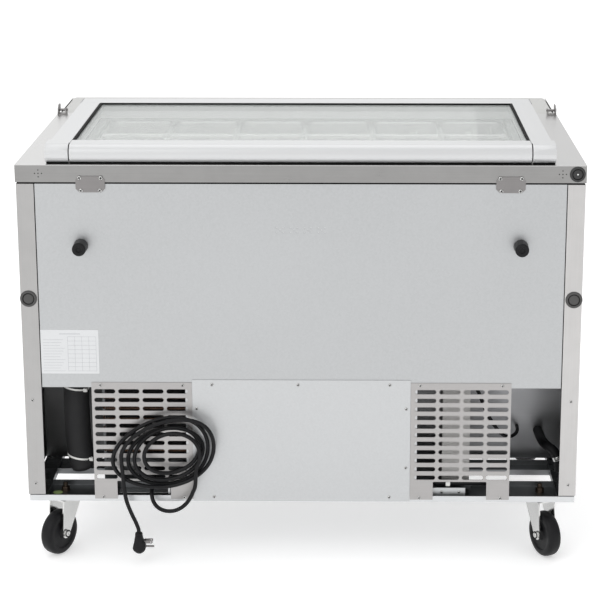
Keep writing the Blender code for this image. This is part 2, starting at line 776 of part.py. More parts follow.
def bay_fittings(black, light_grey, copper, foam):
    """Control box, terminal box, insulated pipe, discharge pipe and the thermostat cable."""
    add("junction_box", box(0.3145, 0.3760, 0.045, 0.110, RAIL_TOP + 0.0025, 0.402), light_grey)
    x_low, x_high = -0.368, -0.302
    box_section = [
        (deep(0.0420), 0.2130), (deep(0.0120), 0.2130), (deep(0.0120), 0.1980),
        (deep(0.0270), 0.1830), (deep(0.0385), 0.1830), (deep(0.0385), 0.1780), (deep(0.0420), 0.1780),
    ]
    add("terminal_box", prism(box_section, "X", x_low, x_high), black)
    pipe_x, pipe_d = -0.508, 0.075
    pipe = [
        (pipe_x, deep(pipe_d), 0.4095), (pipe_x, deep(pipe_d), 0.330),
        (pipe_x + 0.002, deep(pipe_d), 0.260), (pipe_x + 0.008, deep(pipe_d - 0.002), 0.210),
        (pipe_x + 0.018, deep(pipe_d - 0.006), 0.188),
    ]
    tube("suction_pipe_insulation", smooth_curve(pipe, 0.045), 0.029, foam, resolution=3)
    discharge = [
        (0.020, deep(0.130), 0.300), (-0.040, deep(0.130), 0.300), (-0.100, deep(0.126), 0.306),
        (-0.160, deep(0.108), 0.320), (-0.200, deep(0.085), 0.338), (-0.2345, deep(0.071), 0.345),
    ]
    tube("discharge_pipe", smooth_curve(discharge, 0.018), 0.0048, copper)
    cable = [
        (0.3795, deep(0.080), 0.388), (0.389, deep(0.080), 0.385), (0.400, deep(0.081), 0.362),
        (0.410, deep(0.082), 0.334), (0.425, deep(0.088), 0.304), (0.442, deep(0.100), 0.276),
        (0.460, deep(0.124), 0.252), (0.478, deep(0.152), 0.240), (0.492, deep(0.184), 0.236),
        (0.498, deep(0.210), 0.236), (0.499, deep(0.2342), 0.236),
    ]
    tube("probe_cable", smooth_curve(cable, 0.014), 0.004, black)


def cord(black):
    """Strain relief, the lead up to the coil, the coil's outer shape, the tail and the plug."""
    down = Vector((0.0, -1.0, -1.0)).normalized()
    face = Vector((-0.335, deep(0.0195), 0.1905))
    start = Vector(LEAD_ROUTE[0])
    relief = rod(0.0085, face + down * GAP, face + down * 0.006, sides=12)
    taper = prism(circle(0.0, 0.0, 0.0065, 12), "Z", 0.0, (start - face).length - 0.0053)
    narrow = (CORD_RADIUS + 0.0004) / 0.0065
    tip = max(vert.co.z for vert in taper.verts)
    for vert in taper.verts:
        if vert.co.z > tip - 1e-6:
            vert.co.x *= narrow
            vert.co.y *= narrow
    spin = down.to_track_quat("Z", "Y").to_matrix().to_4x4()
    taper.transform(Matrix.Translation(face + down * 0.005) @ spin)
    add("cord_gland", unite(relief, taper), black)
    spacing = 2.2 * 2.0 * CORD_RADIUS
    tube("cord_lead", smooth_curve(LEAD_ROUTE, spacing), CORD_RADIUS, black)
    tube("cord_tail", smooth_curve(TAIL_ROUTE, spacing), CORD_RADIUS, black)
    outer = oval(COIL_X, COIL_Z, COIL_HALF_X, COIL_HALF_Z, 28)
    inner = oval(COIL_X, COIL_Z, COIL_HALF_X - COIL_BAND, COIL_HALF_Z - COIL_BAND, 16)
    add("cord_coil", prism(outer, "Y", deep(COIL_REAR), deep(COIL_FRONT), [inner]), black, round_shape=True)
    plug(black)


def plug(material):
    """Grounded angle plug that hangs on the cord, with its blades pointing to +X."""
    x, y, _ = TAIL_ROUTE[-1]
    body_outline = [
        (-0.0062, 0.0715), (0.0062, 0.0715), (0.0075, 0.0600), (0.0125, 0.0520), (0.0135, 0.0360),
        (0.0085, 0.0260), (0.0015, 0.0220), (-0.0050, 0.0235), (-0.0125, 0.0340), (-0.0120, 0.0500),
        (-0.0078, 0.0600),
    ]
    half = 0.0125
    parts = [prism([(x + u, v) for u, v in body_outline], "Y", y - half, y + half)]
    root, tip = x + 0.010, x + 0.031
    blade_z, blade_half = 0.0520, 0.0032
    for side in (-1.0, 1.0):
        low, high = sorted((y + side * 0.0055, y + side * 0.0072))
        blade = rectangle(root, tip, blade_z - blade_half, blade_z + blade_half)
        parts.append(prism(blade, "Y", low, high))
    parts.append(rod(0.0024, (root, y, 0.0395), (tip + 0.003, y, 0.0395), sides=8))
    add("plug", unite(*parts), material)


# ---------------------------------------------------------------- inside the cabinet
def evaporator(fins, white, black):
    """Coil, cover, fan and thermostat knob on the rear wall above the compressor bay."""
    x_half, z_low, z_high = 0.280, 0.500, 0.720
    rear, front = 0.0350, 0.150
    wall = 0.0015
    add("evaporator_coil", box(-0.250, 0.250, rear + 0.001, 0.085, z_low + 0.010, z_high - 0.010), fins)
    ring = prism(rectangle(-x_half, x_half, z_low, z_high), "Y", deep(rear), deep(front),
                 [rectangle(-x_half + wall, x_half - wall, z_low + wall, z_high - wall)])
    fan_z, fan_depth = 0.610, 0.120
    knob_x, knob_z, spindle = 0.200, 0.660, 0.003
    face = prism(rectangle(-x_half, x_half, z_low, z_high), "Y", deep(front - wall), deep(front),
                 [circle(0.0, fan_z, 0.082, 20), circle(knob_x, knob_z, spindle + GAP, 10)])
    bracket = box(-0.012, 0.012, 0.0880, 0.0895, z_low + 0.0005, z_high - 0.0005)
    motor = rod(0.022, (0.0, deep(0.0890), fan_z), (0.0, deep(0.1080), fan_z), sides=16)
    shaft = rod(0.003, (0.0, deep(0.1075), fan_z), (0.0, deep(0.1106), fan_z), sides=8)
    add("evaporator_cover", unite(ring, face, bracket, motor, shaft), white)
    fan("evaporator_fan", (0.0, deep(fan_depth), fan_z), 0.074, 4, black)
    knob = prism(circle(0.0, 0.0, 0.019, 16), "Y", 0.0, 0.016)
    grip = prism(rectangle(-0.004, 0.004, -0.017, 0.017), "Y", 0.015, 0.022)
    stem = rod(spindle, (0.0, -0.010, 0.0), (0.0, 0.001, 0.0), sides=10)
    mesh = unite(knob, grip, stem)
    centre = (knob_x, deep(front + GAP), knob_z)
    mesh.transform(Matrix.Translation(centre))
    add("thermostat_knob", mesh, black, origin=centre)


def shelf(name, side, material):
    """Open shelf in one half of the cabinet."""
    x_low, x_high = sorted((side * 0.024, side * 0.5640))
    outline = rectangle(x_low, x_high, deep(0.290), deep(0.660))
    bars = []
    for column in range(12):
        left = x_low + 0.012 + column * 0.0432
        bars.append(rectangle(left, left + 0.0375, deep(0.302), deep(0.648)))
    add(name, prism(outline, "Z", 0.470, 0.476, bars), material)


def pan_row(name, row, material):
    """Six one-sixth-size pans side by side, hanging by their rims."""
    rim = FLOOR_TO_COUNTER - LEDGE_DROP + DIVIDER_THICK + 2.0 * GAP + PAN_SHEET
    first = (OPENING_REAR + OPENING_FRONT - 3.0 * PAN_ROW_PITCH) / 2.0
    d_low = first + row * PAN_ROW_PITCH + 0.0004
    d_high = d_low + PAN_ROW_PITCH - 0.0008
    half = PAN_PITCH * PANS_PER_ROW / 2.0 - 0.0002
    bm = bmesh.new()
    loops = [rectangle(-half, half, deep(d_low), deep(d_high))]
    middle_d = deep((d_low + d_high) / 2.0)
    centres = [PAN_PITCH * (column - (PANS_PER_ROW - 1) / 2.0) for column in range(PANS_PER_ROW)]
    for x in centres:
        loops.append(rounded(x - 0.072, x + 0.072, middle_d - 0.0795, middle_d + 0.0795, 0.018))
    for loop in loops:
        verts = [bm.verts.new((u, v, rim)) for u, v in loop]
        for start, end in zip(verts, verts[1:] + verts[:1]):
            bm.edges.new((start, end))
    bmesh.ops.triangle_fill(bm, edges=bm.edges[:], use_beauty=True)
    mouths = [edge for edge in bm.edges
              if edge.is_boundary and all(abs(v.co.x) < half - 0.001 for v in edge.verts)
              and all(abs(v.co.y - middle_d) < 0.081 for v in edge.verts)]

    def taper(point):
        x = min(centres, key=lambda centre: abs(centre - point.x))
        return ((x - point.x) * 0.13, (middle_d - point.y) * 0.115, -PAN_DEPTH)

    floor_edges = grow_rim(bm, mouths, taper)
    bmesh.ops.edgeloop_fill(bm, edges=floor_edges)
    bmesh.ops.recalc_face_normals(bm, faces=bm.faces[:])
    if max(bm.faces, key=lambda face: face.calc_center_median().z).normal.z < 0.0:
        bmesh.ops.reverse_faces(bm, faces=bm.faces[:])
    thicken(add(name, bm, material), PAN_SHEET)


def pan_divider(name, row, material):
    """T-bar across the opening between two rows of pans."""
    depth = (OPENING_REAR + OPENING_FRONT - 3.0 * PAN_ROW_PITCH) / 2.0 + (row + 1) * PAN_ROW_PITCH
    low = FLOOR_TO_COUNTER - LEDGE_DROP + GAP
    flange = box(-0.4785, 0.4785, depth - 0.0070, depth + 0.0070, low, low + DIVIDER_THICK)
    web = box(-0.4700, 0.4700, depth - 0.0012, depth + 0.0012, low - 0.012, low + 0.0005)
    add(name, unite(flange, web), material)


# ---------------------------------------------------------------- board, lid and doors
def cutting_board(white, steel):
    """Full-width board on a folded shelf along the front of the countertop."""
    shelf_top = 0.8925
    half = 0.6110
    rear, front = COUNTER_DEPTH + 0.0008, 0.864
    plate = box(-half, half, rear, front, shelf_top - SHEET, shelf_top)
    rear_flange = box(-half, half, rear, rear + SHEET, 0.8680, shelf_top)
    front_flange = box(-half, half, front - SHEET, front, 0.8700, shelf_top)
    ends = [box(*sorted((side * half, side * (half - SHEET))), rear, front, 0.8700, 0.9050)
            for side in (-1.0, 1.0)]
    add("board_shelf", unite(plate, rear_flange, front_flange, *ends), steel)
    board = rounded(-half + 0.004, half - 0.004, deep(0.6275), deep(0.8625), 0.008)
    add("cutting_board", prism(board, "Z", shelf_top + GAP, shelf_top + GAP + 0.0127), white)


def nose_section(wall=0.0, reach=LID_GLASS_REAR):
    """Section of the lid's rear rail, a flat bar with a half-round nose, shrunk by a wall."""
    radius = LID_NOSE - wall
    axis_y = deep(LID_AXIS_DEPTH)
    steps = 8
    points = []
    for step in range(steps + 1):
        angle = math.pi * (0.5 + step / steps)
        z = LID_AXIS_Z + radius * math.sin(angle)
        points.append((axis_y + radius * math.cos(angle), max(z, LID_BOTTOM - 0.002 + wall)))
    points.append((axis_y + 0.008, LID_BOTTOM + wall))
    points.append((deep(reach) - wall, LID_BOTTOM + wall))
    points.append((deep(reach) - wall, LID_AXIS_Z + radius))
    return points


def lid(aluminium, plastic, glass):
    """Hinged lid: a frame of hollow rails round a pane of glass."""
    hinge = (0.0, deep(LID_AXIS_DEPTH), LID_AXIS_Z)
    top = LID_AXIS_Z + LID_NOSE
    rear = prism(nose_section(), "X", GAP - LID_INNER, LID_INNER - GAP, [nose_section(LID_WALL)])
    add("lid_rear_rail", rear, aluminium, origin=hinge, round_shape=True)
    ledge_low, ledge_high = 0.9330, 0.9405
    seat = 0.4860
    for name, side in (("lid_side_left", -1.0), ("lid_side_right", 1.0)):
        cap_section = nose_section(reach=LID_GLASS_REAR + 0.001)
        cap = prism(cap_section, "X", *sorted((side * LID_INNER, side * LID_CAP_OUTER)))
        bar = prism(mirrored([
            (LID_INNER, LID_BOTTOM), (LID_OUTER, LID_BOTTOM), (LID_OUTER, top), (LID_INNER, top),
            (LID_INNER, ledge_high), (seat, ledge_high), (seat, ledge_low), (LID_INNER, ledge_low),
        ], side), "Y", deep(LID_GLASS_REAR + GAP), deep(LID_GLASS_FRONT),
            [mirrored(rectangle(LID_INNER + LID_WALL, LID_OUTER - LID_WALL,
                                LID_BOTTOM + LID_WALL, top - LID_WALL), side)])
        relief_end = LID_INNER + 2.0 * EAR_GAP + EAR_SHEET - GAP
        relief = rod(LID_NOSE + 0.001, (side * (LID_INNER - 0.001), *hinge[1:]),
                     (side * relief_end, *hinge[1:]), sides=24)
        bore = rod(PIN_RADIUS + GAP, (side * (relief_end - 0.001), *hinge[1:]),
                   (side * (relief_end + 0.011), *hinge[1:]), sides=12)
        add(name, cut(to_bmesh(unite(cap, bar)), relief, bore), plastic, origin=hinge, round_shape=True)
    front = prism(rectangle(deep(LID_GLASS_FRONT + GAP), deep(LID_FRONT), LID_BOTTOM, top), "X",
                  -LID_OUTER, LID_OUTER,
                  [rectangle(deep(LID_GLASS_FRONT + LID_WALL), deep(LID_FRONT - LID_WALL),
                             LID_BOTTOM + LID_WALL, top - LID_WALL)])
    add("lid_front_rail", front, aluminium, origin=hinge)
    pane = box(-LID_INNER + GAP, LID_INNER - GAP, LID_GLASS_REAR + GAP, LID_GLASS_FRONT - GAP,
               ledge_high + GAP, ledge_high + GAP + 0.006)
    add("lid_glass", pane, glass, origin=hinge)


def door(name, side, material):
    """Hollow sheet-metal door with pin holes in its ends and a pull recess along its top."""
    x_low, x_high = sorted((side * DOOR_INNER, side * DOOR_OUTER))
    front = DOOR_REAR + DOOR_THICK
    x = side * DOOR_AXIS_X
    body = box(x_low, x_high, DOOR_REAR, front, DOOR_BOTTOM, DOOR_TOP)
    core = box(x_low + SHEET, x_high - SHEET, DOOR_REAR + SHEET, front - SHEET,
               DOOR_BOTTOM + SHEET, DOOR_TOP - SHEET)
    pull_low, pull_high = sorted((side * 0.060, side * 0.560))
    pull_floor, pull_rear, pull_front = DOOR_TOP - 0.030, front - 0.026, front - 0.004
    recess = box(pull_low, pull_high, pull_rear, pull_front, pull_floor, DOOR_TOP + 0.01)
    recess_walls = box(pull_low - SHEET, pull_high + SHEET, pull_rear - SHEET, front,
                       pull_floor - SHEET, DOOR_TOP)
    hollow = to_bmesh(cut(core, recess_walls))
    axis_y = deep(DOOR_AXIS_DEPTH)
    pin_holes = [rod(PIN_RADIUS + GAP, (x, axis_y, low), (x, axis_y, high), sides=12)
                 for low, high in ((DOOR_TOP - 0.010, DOOR_TOP + 0.010),
                                   (DOOR_BOTTOM - 0.010, DOOR_BOTTOM + 0.010))]
    add(name, cut(body, hollow, recess, *pin_holes), material, origin=(x, axis_y, DOOR_BOTTOM))


def build():
    clear_scene()
    stainless = finish("stainless", (0.55, 0.54, 0.53), 0.35, 1.0)
    galvanised = finish("galvanised", (0.62, 0.63, 0.64), 0.45, 1.0)
    anodised = finish("anodised", (0.82, 0.83, 0.84), 0.35, 1.0)
    cap_grey = finish("cap_grey", (0.72, 0.73, 0.74), 0.5)
    glass = finish("glass", (0.86, 0.90, 0.88), 0.05)
    black = finish("black_plastic", (0.02, 0.02, 0.02), 0.5)
    rubber = finish("black_rubber", (0.025, 0.025, 0.025), 0.7)
    foam = finish("pipe_foam", (0.02, 0.02, 0.022), 0.85)
    zinc = finish("zinc", (0.62, 0.62, 0.60), 0.35, 1.0)
    red = finish("pedal_red", (0.45, 0.03, 0.03), 0.5)
    copper = finish("copper", (0.60, 0.30, 0.16), 0.35, 1.0)
    fins = finish("aluminium_fins", (0.35, 0.35, 0.36), 0.5, 1.0)
    enamel = finish("black_enamel", (0.03, 0.03, 0.03), 0.35)
    white = finish("white_polymer", (0.85, 0.85, 0.83), 0.55)
    light_grey = finish("light_grey", (0.62, 0.61, 0.60), 0.5)

    base_frame(galvanised)
    casters(zinc, rubber, red)
    countertop(stainless)
    side_panel("side_panel_left", -1.0, stainless)
    side_panel("side_panel_right", 1.0, stainless)
    rear_panel(galvanised)
    service_panel(galvanised)
    rear_grille("grille_rear_left", -1.0, stainless)
    rear_grille("grille_rear_right", 1.0, stainless)
    kick_grille(stainless)
    face_frame(stainless)
    insulated_tub(galvanised)
    fixing_plate("fixing_plate_left", -1.0, stainless)
    fixing_plate("fixing_plate_right", 1.0, stainless)
    rear_bumper("rear_bumper_left", -1.0, rubber)
    rear_bumper("rear_bumper_right", 1.0, rubber)
    compressor_tray(galvanised)
    compressor(enamel)
    condenser(fins, black, galvanised)
    bay_fittings(black, light_grey, copper, foam)
    cord(black)
    evaporator(fins, white, black)
    shelf("shelf_left", -1.0, white)
    shelf("shelf_right", 1.0, white)
    for row, name in enumerate(("pans_row_rear", "pans_row_middle", "pans_row_front")):
        pan_row(name, row, stainless)
    for row, name in enumerate(("pan_divider_rear", "pan_divider_front")):
        pan_divider(name, row, stainless)
    cutting_board(white, stainless)
    lid(anodised, cap_grey, glass)
    door("door_left", -1.0, stainless)
    door("door_right", 1.0, stainless)


build()
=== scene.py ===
import math

import bmesh
import bpy
from mathutils import Matrix, Vector


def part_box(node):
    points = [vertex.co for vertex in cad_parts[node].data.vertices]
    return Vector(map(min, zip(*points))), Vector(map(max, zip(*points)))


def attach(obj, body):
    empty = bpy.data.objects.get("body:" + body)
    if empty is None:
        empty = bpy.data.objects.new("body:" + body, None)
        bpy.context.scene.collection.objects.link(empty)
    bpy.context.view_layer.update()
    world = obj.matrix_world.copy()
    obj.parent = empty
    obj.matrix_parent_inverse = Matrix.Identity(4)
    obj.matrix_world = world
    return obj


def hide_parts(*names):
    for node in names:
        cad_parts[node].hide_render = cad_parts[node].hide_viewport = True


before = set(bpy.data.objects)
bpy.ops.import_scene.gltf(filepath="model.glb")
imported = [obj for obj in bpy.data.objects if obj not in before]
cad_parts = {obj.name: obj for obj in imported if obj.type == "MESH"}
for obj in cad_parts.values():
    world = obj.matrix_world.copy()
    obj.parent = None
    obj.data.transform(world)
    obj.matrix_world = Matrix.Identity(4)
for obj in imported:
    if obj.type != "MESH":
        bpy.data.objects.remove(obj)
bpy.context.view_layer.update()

# ---------------- sizes, in metres
PANEL_LOW, PANEL_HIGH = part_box("rear_panel")
COUNTER_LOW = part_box("countertop")[0]
REAR_Y = COUNTER_LOW.y
COUNTER_TOP = 0.908
LID_BOTTOM = 0.912
RAIL_SEAT = 0.1412
PAN_PITCH = 0.1588
HAIR = 0.0001
SIDES = ((-1.0, "left"), (1.0, "right"))
REARWARD = (0.0, -1.0, 0.0)

CORD_RADIUS = 0.0045
CORD_STEP = 0.004
COIL_TURNS = 4.60
COIL_START = math.radians(-28.0)
COIL_STEPS_PER_TURN = 24

LEAD_ROUTE = (
    (-0.3350, -0.4073, 0.1767), (-0.3350, -0.4142, 0.1698), (-0.3347, -0.4215, 0.1617),
    (-0.3330, -0.4280, 0.1525), (-0.3290, -0.4328, 0.1437), (-0.3225, -0.4360, 0.1358),
    (-0.3135, -0.4382, 0.1300), (-0.3020, -0.4400, 0.1268), (-0.2895, -0.4412, 0.1268),
    (-0.2770, -0.4422, 0.1302), (-0.2655, -0.4430, 0.1370), (-0.2555, -0.4437, 0.1465),
    (-0.2472, -0.4442, 0.1590), (-0.2405, -0.4446, 0.1735), (-0.2351, -0.4450, 0.1895),
)
TAIL_ROUTE = (
    (-0.3942, -0.4440, 0.1981), (-0.3938, -0.4430, 0.1830), (-0.3920, -0.4415, 0.1680),
    (-0.3890, -0.4400, 0.1500), (-0.3840, -0.4385, 0.1330), (-0.3780, -0.4370, 0.1160),
    (-0.3710, -0.4355, 0.0990), (-0.3665, -0.4345, 0.0860), (-0.3647, -0.4340, 0.0790),
    (-0.3645, -0.4340, 0.0728),
)
# Loops of the coil: turns from its start, centre X and Z, half width, half height,
# tilt in degrees and Y.
COIL_LOOPS = (
    (0.00, -0.2890, 0.2540, 0.0665, 0.0545, 12.0, -0.4455),
    (0.35, -0.2870, 0.2620, 0.0625, 0.0480, 18.0, -0.4455),
    (0.70, -0.2870, 0.2650, 0.0615, 0.0465, 20.0, -0.4450),
    (0.90, -0.2880, 0.2650, 0.0625, 0.0480, 20.0, -0.4350),
    (1.30, -0.2930, 0.2650, 0.0710, 0.0530, 22.0, -0.4345),
    (1.80, -0.2960, 0.2600, 0.0805, 0.0580, 20.0, -0.4345),
    (2.00, -0.2965, 0.2580, 0.0765, 0.0600, 16.0, -0.4290),
    (2.15, -0.2975, 0.2545, 0.0820, 0.0610, 14.0, -0.4235),
    (2.80, -0.2990, 0.2500, 0.0900, 0.0640, 12.0, -0.4235),
    (3.00, -0.2985, 0.2555, 0.0925, 0.0690, 16.0, -0.4275),
    (3.15, -0.3000, 0.2640, 0.0970, 0.0715, 22.0, -0.4335),
    (3.55, -0.3090, 0.2700, 0.1140, 0.0700, 24.0, -0.4345),
    (3.80, -0.3060, 0.2650, 0.1100, 0.0790, 20.0, -0.4350),
    (4.00, -0.2990, 0.2630, 0.1080, 0.0820, 18.0, -0.4350),
    (4.20, -0.2970, 0.2680, 0.1060, 0.0750, 22.0, -0.4445),
    (4.60, -0.3000, 0.2600, 0.0985, 0.0640, 8.0, -0.4450),
)


# ---------------- materials
EVEN = (1.0, 1.0, 1.0)
BRUSH = 0.012
ALONG_X, ALONG_Z = (BRUSH, 1.0, 1.0), (1.0, 1.0, BRUSH)
NOISE_RANGE = (0.3, 0.7)


def add_node(tree, kind, *operands, **inputs):
    """New shader node, with its numbered and named inputs linked to sockets or set to values."""
    node = tree.nodes.new(f"ShaderNode{kind}")
    for key, value in (*enumerate(operands), *inputs.items()):
        socket = node.inputs[key.replace("_", " ") if isinstance(key, str) else key]
        if isinstance(value, bpy.types.NodeSocket):
            tree.links.new(value, socket)
        else:
            socket.default_value = value
    return node


def surface(name, colour, roughness, tone, gloss, fine, metallic=0.0, grain=EVEN, cloud=6.0, bump=0.1,
            depth=0.0002, cells=0.0, constants=()):
    """Principled material with a fine grain, cloudy tone, uneven gloss and a slight relief."""
    material = bpy.data.materials.new(name)
    material.use_nodes = True
    tree = material.node_tree
    place = add_node(tree, "TexCoord").outputs["Object"]
    stretched = add_node(tree, "Mapping", Vector=place, Scale=grain).outputs["Vector"]
    strokes = add_node(tree, "TexNoise", Vector=stretched, Scale=fine, Detail=3.0).outputs["Fac"]
    clouds = add_node(tree, "TexNoise", Vector=place, Scale=cloud, Detail=4.0).outputs["Fac"]
    if cells:
        patches = add_node(tree, "TexVoronoi", Vector=place, Scale=cells).outputs["Color"]
    else:
        patches = add_node(tree, "TexNoise", Vector=place, Scale=4.0 * cloud, Detail=2.0).outputs["Fac"]
    grainy = add_node(tree, "Mix", Factor=0.5, A=strokes, B=patches).outputs["Result"]
    mixed = add_node(tree, "Mix", Factor=0.4, A=grainy, B=clouds).outputs["Result"]
    ramp = add_node(tree, "ValToRGB", Fac=mixed)
    for stop, position, level in zip(ramp.color_ramp.elements, NOISE_RANGE, (1.0 - tone, 1.0 + tone)):
        stop.position = position
        stop.color = (*(min(1.0, channel * level) for channel in colour), 1.0)
    uneven = add_node(tree, "MapRange", mixed, *NOISE_RANGE, max(0.02, roughness - gloss),
                      min(1.0, roughness + gloss))
    relief = add_node(tree, "Bump", Height=strokes, Strength=bump, Distance=depth)
    shader = tree.nodes["Principled BSDF"]
    for socket, value in (("Metallic", metallic), *constants):
        shader.inputs[socket].default_value = value
    tree.links.new(ramp.outputs["Color"], shader.inputs["Base Color"])
    tree.links.new(uneven.outputs["Result"], shader.inputs["Roughness"])
    tree.links.new(relief.outputs["Normal"], shader.inputs["Normal"])
    return material


def metal(name, colour, roughness, tone, gloss, fine, grain=ALONG_X, bump=0.04, **details):
    """Bare metal, brushed along X unless told otherwise."""
    return surface(name, colour, roughness, tone, gloss, fine, 1.0, grain, bump=bump, **details)


def math_node(tree, operation, first, second):
    node = add_node(tree, "Math", first, second)
    node.operation = operation
    return node.outputs["Value"]


def paint_shade_within(material, low, high, colour):
    """Darken the faces inside a box as painted shade, such as a sheet's inner side, which lies in shade."""
    tree = material.node_tree
    place = add_node(tree, "SeparateXYZ", add_node(tree, "TexCoord").outputs["Object"])
    shade_mask = 1.0
    for axis, least, most in zip("XYZ", low, high):
        for limit, operation in ((least, "GREATER_THAN"), (most, "LESS_THAN")):
            if limit is not None:
                beyond = math_node(tree, operation, place.outputs[axis], limit)
                shade_mask = math_node(tree, "MULTIPLY", shade_mask, beyond)
    base = tree.nodes["Principled BSDF"].inputs["Base Color"]
    blend = tree.nodes.new("ShaderNodeMix")
    blend.data_type = "RGBA"
    blend.blend_type = "MULTIPLY"
    blend.inputs["B"].default_value = (*colour, 1.0)
    tree.links.new(shade_mask, blend.inputs["Factor"])
    tree.links.new(base.links[0].from_socket, blend.inputs["A"])
    tree.links.new(blend.outputs["Result"], base)


# Painted light and shade: the two side panels are one stainless steel, toned darker on the left copy and
# lighter on the right copy.
STEEL_LEFT_SHADED = metal("steel_left_side_shaded", (0.411, 0.406, 0.402), 0.36, 0.08, 0.07, 420.0, grain=ALONG_Z)
STEEL_RIGHT_LIT = metal("steel_right_side_lit", (0.529, 0.52, 0.515), 0.36, 0.08, 0.07, 420.0, grain=ALONG_Z)
STEEL_GRILLE = metal("steel_grille", (0.42, 0.409, 0.405), 0.4, 0.07, 0.06, 420.0)
STEEL_TOP = metal("steel_counter", (0.53, 0.528, 0.524), 0.32, 0.08, 0.07, 420.0)
STEEL_PLATE = metal("steel_fixing_plate", (0.25, 0.241, 0.239), 0.38, 0.09, 0.06, 600.0)
STEEL_PAN = metal("steel_pan", (0.66, 0.66, 0.65), 0.24, 0.05, 0.06, 700.0, grain=(1.0, 1.0, 0.02),
                  bump=0.03)
STEEL_DOOR = metal("steel_door", (0.45, 0.445, 0.44), 0.33, 0.08, 0.07, 420.0)
ZINCED = metal("galvanised_sheet", (0.483, 0.492, 0.499), 0.42, 0.06, 0.08, 700.0, grain=EVEN, bump=0.08,
               cloud=3.0, cells=260.0)
ZINCED_COVER = metal("galvanised_cover", (0.55, 0.559, 0.566), 0.44, 0.05, 0.07, 700.0, grain=EVEN,
                     bump=0.08, cloud=3.0, cells=260.0)
# Painted shade: a darkened copy of the galvanised sheet for the tray and fan housing inside the compressor
# bay.
ZINCED_SHADED = metal("galvanised_inside_shaded", (0.16, 0.165, 0.17), 0.34, 0.1, 0.08, 300.0, bump=0.1)
RAIL = metal("galvanised_rail", (0.64, 0.65, 0.66), 0.4, 0.05, 0.06, 400.0)
ANODISED = surface("anodised_aluminium", (0.615, 0.62, 0.625), 0.42, 0.015, 0.02, 900.0, metallic=0.55,
                   grain=(0.002, 1.0, 1.0), cloud=2.0, bump=0.005)
CAP = surface("cap_moulded", (0.34, 0.34, 0.345), 0.45, 0.03, 0.05, 1500.0, bump=0.05)
DULL = (("Specular IOR Level", 0.22),)
BLACK = surface("black_moulded", (0.007, 0.007, 0.008), 0.42, 0.3, 0.08, 1600.0, bump=0.2, constants=DULL)
RUBBER = surface("black_rubber", (0.007, 0.007, 0.008), 0.55, 0.35, 0.1, 900.0, bump=0.2, constants=DULL)
CORD_SKIN = surface("cord_jacket", (0.004, 0.004, 0.005), 0.36, 0.3, 0.08, 1200.0, bump=0.12,
                    constants=DULL)
TYRE = surface("tyre_rubber", (0.006, 0.006, 0.007), 0.46, 0.4, 0.12, 500.0, cloud=18.0, bump=0.25,
               constants=DULL)
FOAM = surface("pipe_foam", (0.011, 0.011, 0.012), 0.8, 0.35, 0.1, 700.0, cloud=14.0, bump=0.6,
               depth=0.0006)
PLUG_GREY = surface("plug_grey", (0.058, 0.057, 0.056), 0.42, 0.1, 0.07, 1400.0)
PLUG_DARK = surface("plug_dark", (0.022, 0.022, 0.022), 0.4, 0.15, 0.07, 1400.0)
GASKET = surface("gasket_rubber", (0.004, 0.004, 0.004), 0.7, 0.3, 0.08, 900.0,
                 constants=(("Specular IOR Level", 0.12),))
ZINC = metal("zinc_plated", (0.7, 0.7, 0.69), 0.22, 0.05, 0.06, 600.0, grain=EVEN, bump=0.02, cloud=12.0)
BOLT = metal("bright_screw", (0.6, 0.6, 0.59), 0.18, 0.08, 0.08, 900.0, grain=EVEN, bump=0.1, cloud=60.0)
# Painted shade: near-black colour for the floors of recesses, grooves and small holes, where shade falls.
RECESS_SHADE = surface("screw_recess_shade", (0.006, 0.006, 0.006), 0.6, 0.2, 0.08, 900.0, constants=DULL)
BRASS_NUT = metal("yellow_passivated_nut", (0.15, 0.115, 0.09), 0.45, 0.35, 0.12, 300.0, grain=EVEN,
                  bump=0.1, cloud=90.0)
RED = surface("pedal_red", (0.5, 0.03, 0.025), 0.42, 0.12, 0.07, 1200.0)
COPPER = metal("copper_tube", (0.22, 0.125, 0.08), 0.38, 0.25, 0.12, 200.0, grain=EVEN, bump=0.1,
               cloud=25.0)
FINS = metal("aluminium_fins", (0.1, 0.1, 0.105), 0.42, 0.15, 0.1, 500.0, grain=EVEN, bump=0.1, cloud=18.0)
ENAMEL = surface("black_enamel", (0.025, 0.025, 0.026), 0.28, 0.2, 0.06, 260.0, bump=0.25,
                 constants=(("Coat Weight", 0.35), ("Coat Roughness", 0.15)))
WHITE_BOARD = surface("board_polyethylene", (0.5, 0.5, 0.488), 0.46, 0.02, 0.08, 260.0,
                      grain=(1.0, 0.03, 1.0), cloud=9.0, bump=0.22, depth=0.0003,
                      constants=(("Subsurface Weight", 0.05), ("Subsurface Radius", (0.01, 0.01, 0.01))))
WHITE_SHEET = surface("white_coated_sheet", (0.8, 0.81, 0.8), 0.4, 0.03, 0.05, 400.0, bump=0.15)
WIRE_COAT = surface("white_wire_coating", (0.84, 0.85, 0.84), 0.34, 0.03, 0.05, 500.0)
TIE = surface("cable_tie_nylon", (0.72, 0.72, 0.7), 0.4, 0.05, 0.06, 900.0)
GREY_BOX = surface("grey_painted_box", (0.56, 0.55, 0.54), 0.46, 0.05, 0.06, 600.0, metallic=0.2)
LABEL = surface("label_film", (0.66, 0.67, 0.68), 0.4, 0.02, 0.05, 400.0)
LABEL_INK = surface("label_ruling", (0.42, 0.43, 0.45), 0.5, 0.08, 0.05, 400.0)
STICKER = surface("green_sticker", (0.42, 0.55, 0.22), 0.4, 0.1, 0.06, 700.0)
TUB_SKIN = metal("tub_liner", (0.66, 0.665, 0.67), 0.34, 0.06, 0.07, 400.0, bump=0.1)
GLASS = surface("lid_glass", (0.86, 0.9, 0.88), 0.05, 0.01, 0.02, 40.0, cloud=4.0, bump=0.01,
                constants=(("Alpha", 0.34), ("Coat Weight", 0.2), ("Coat Roughness", 0.03)))
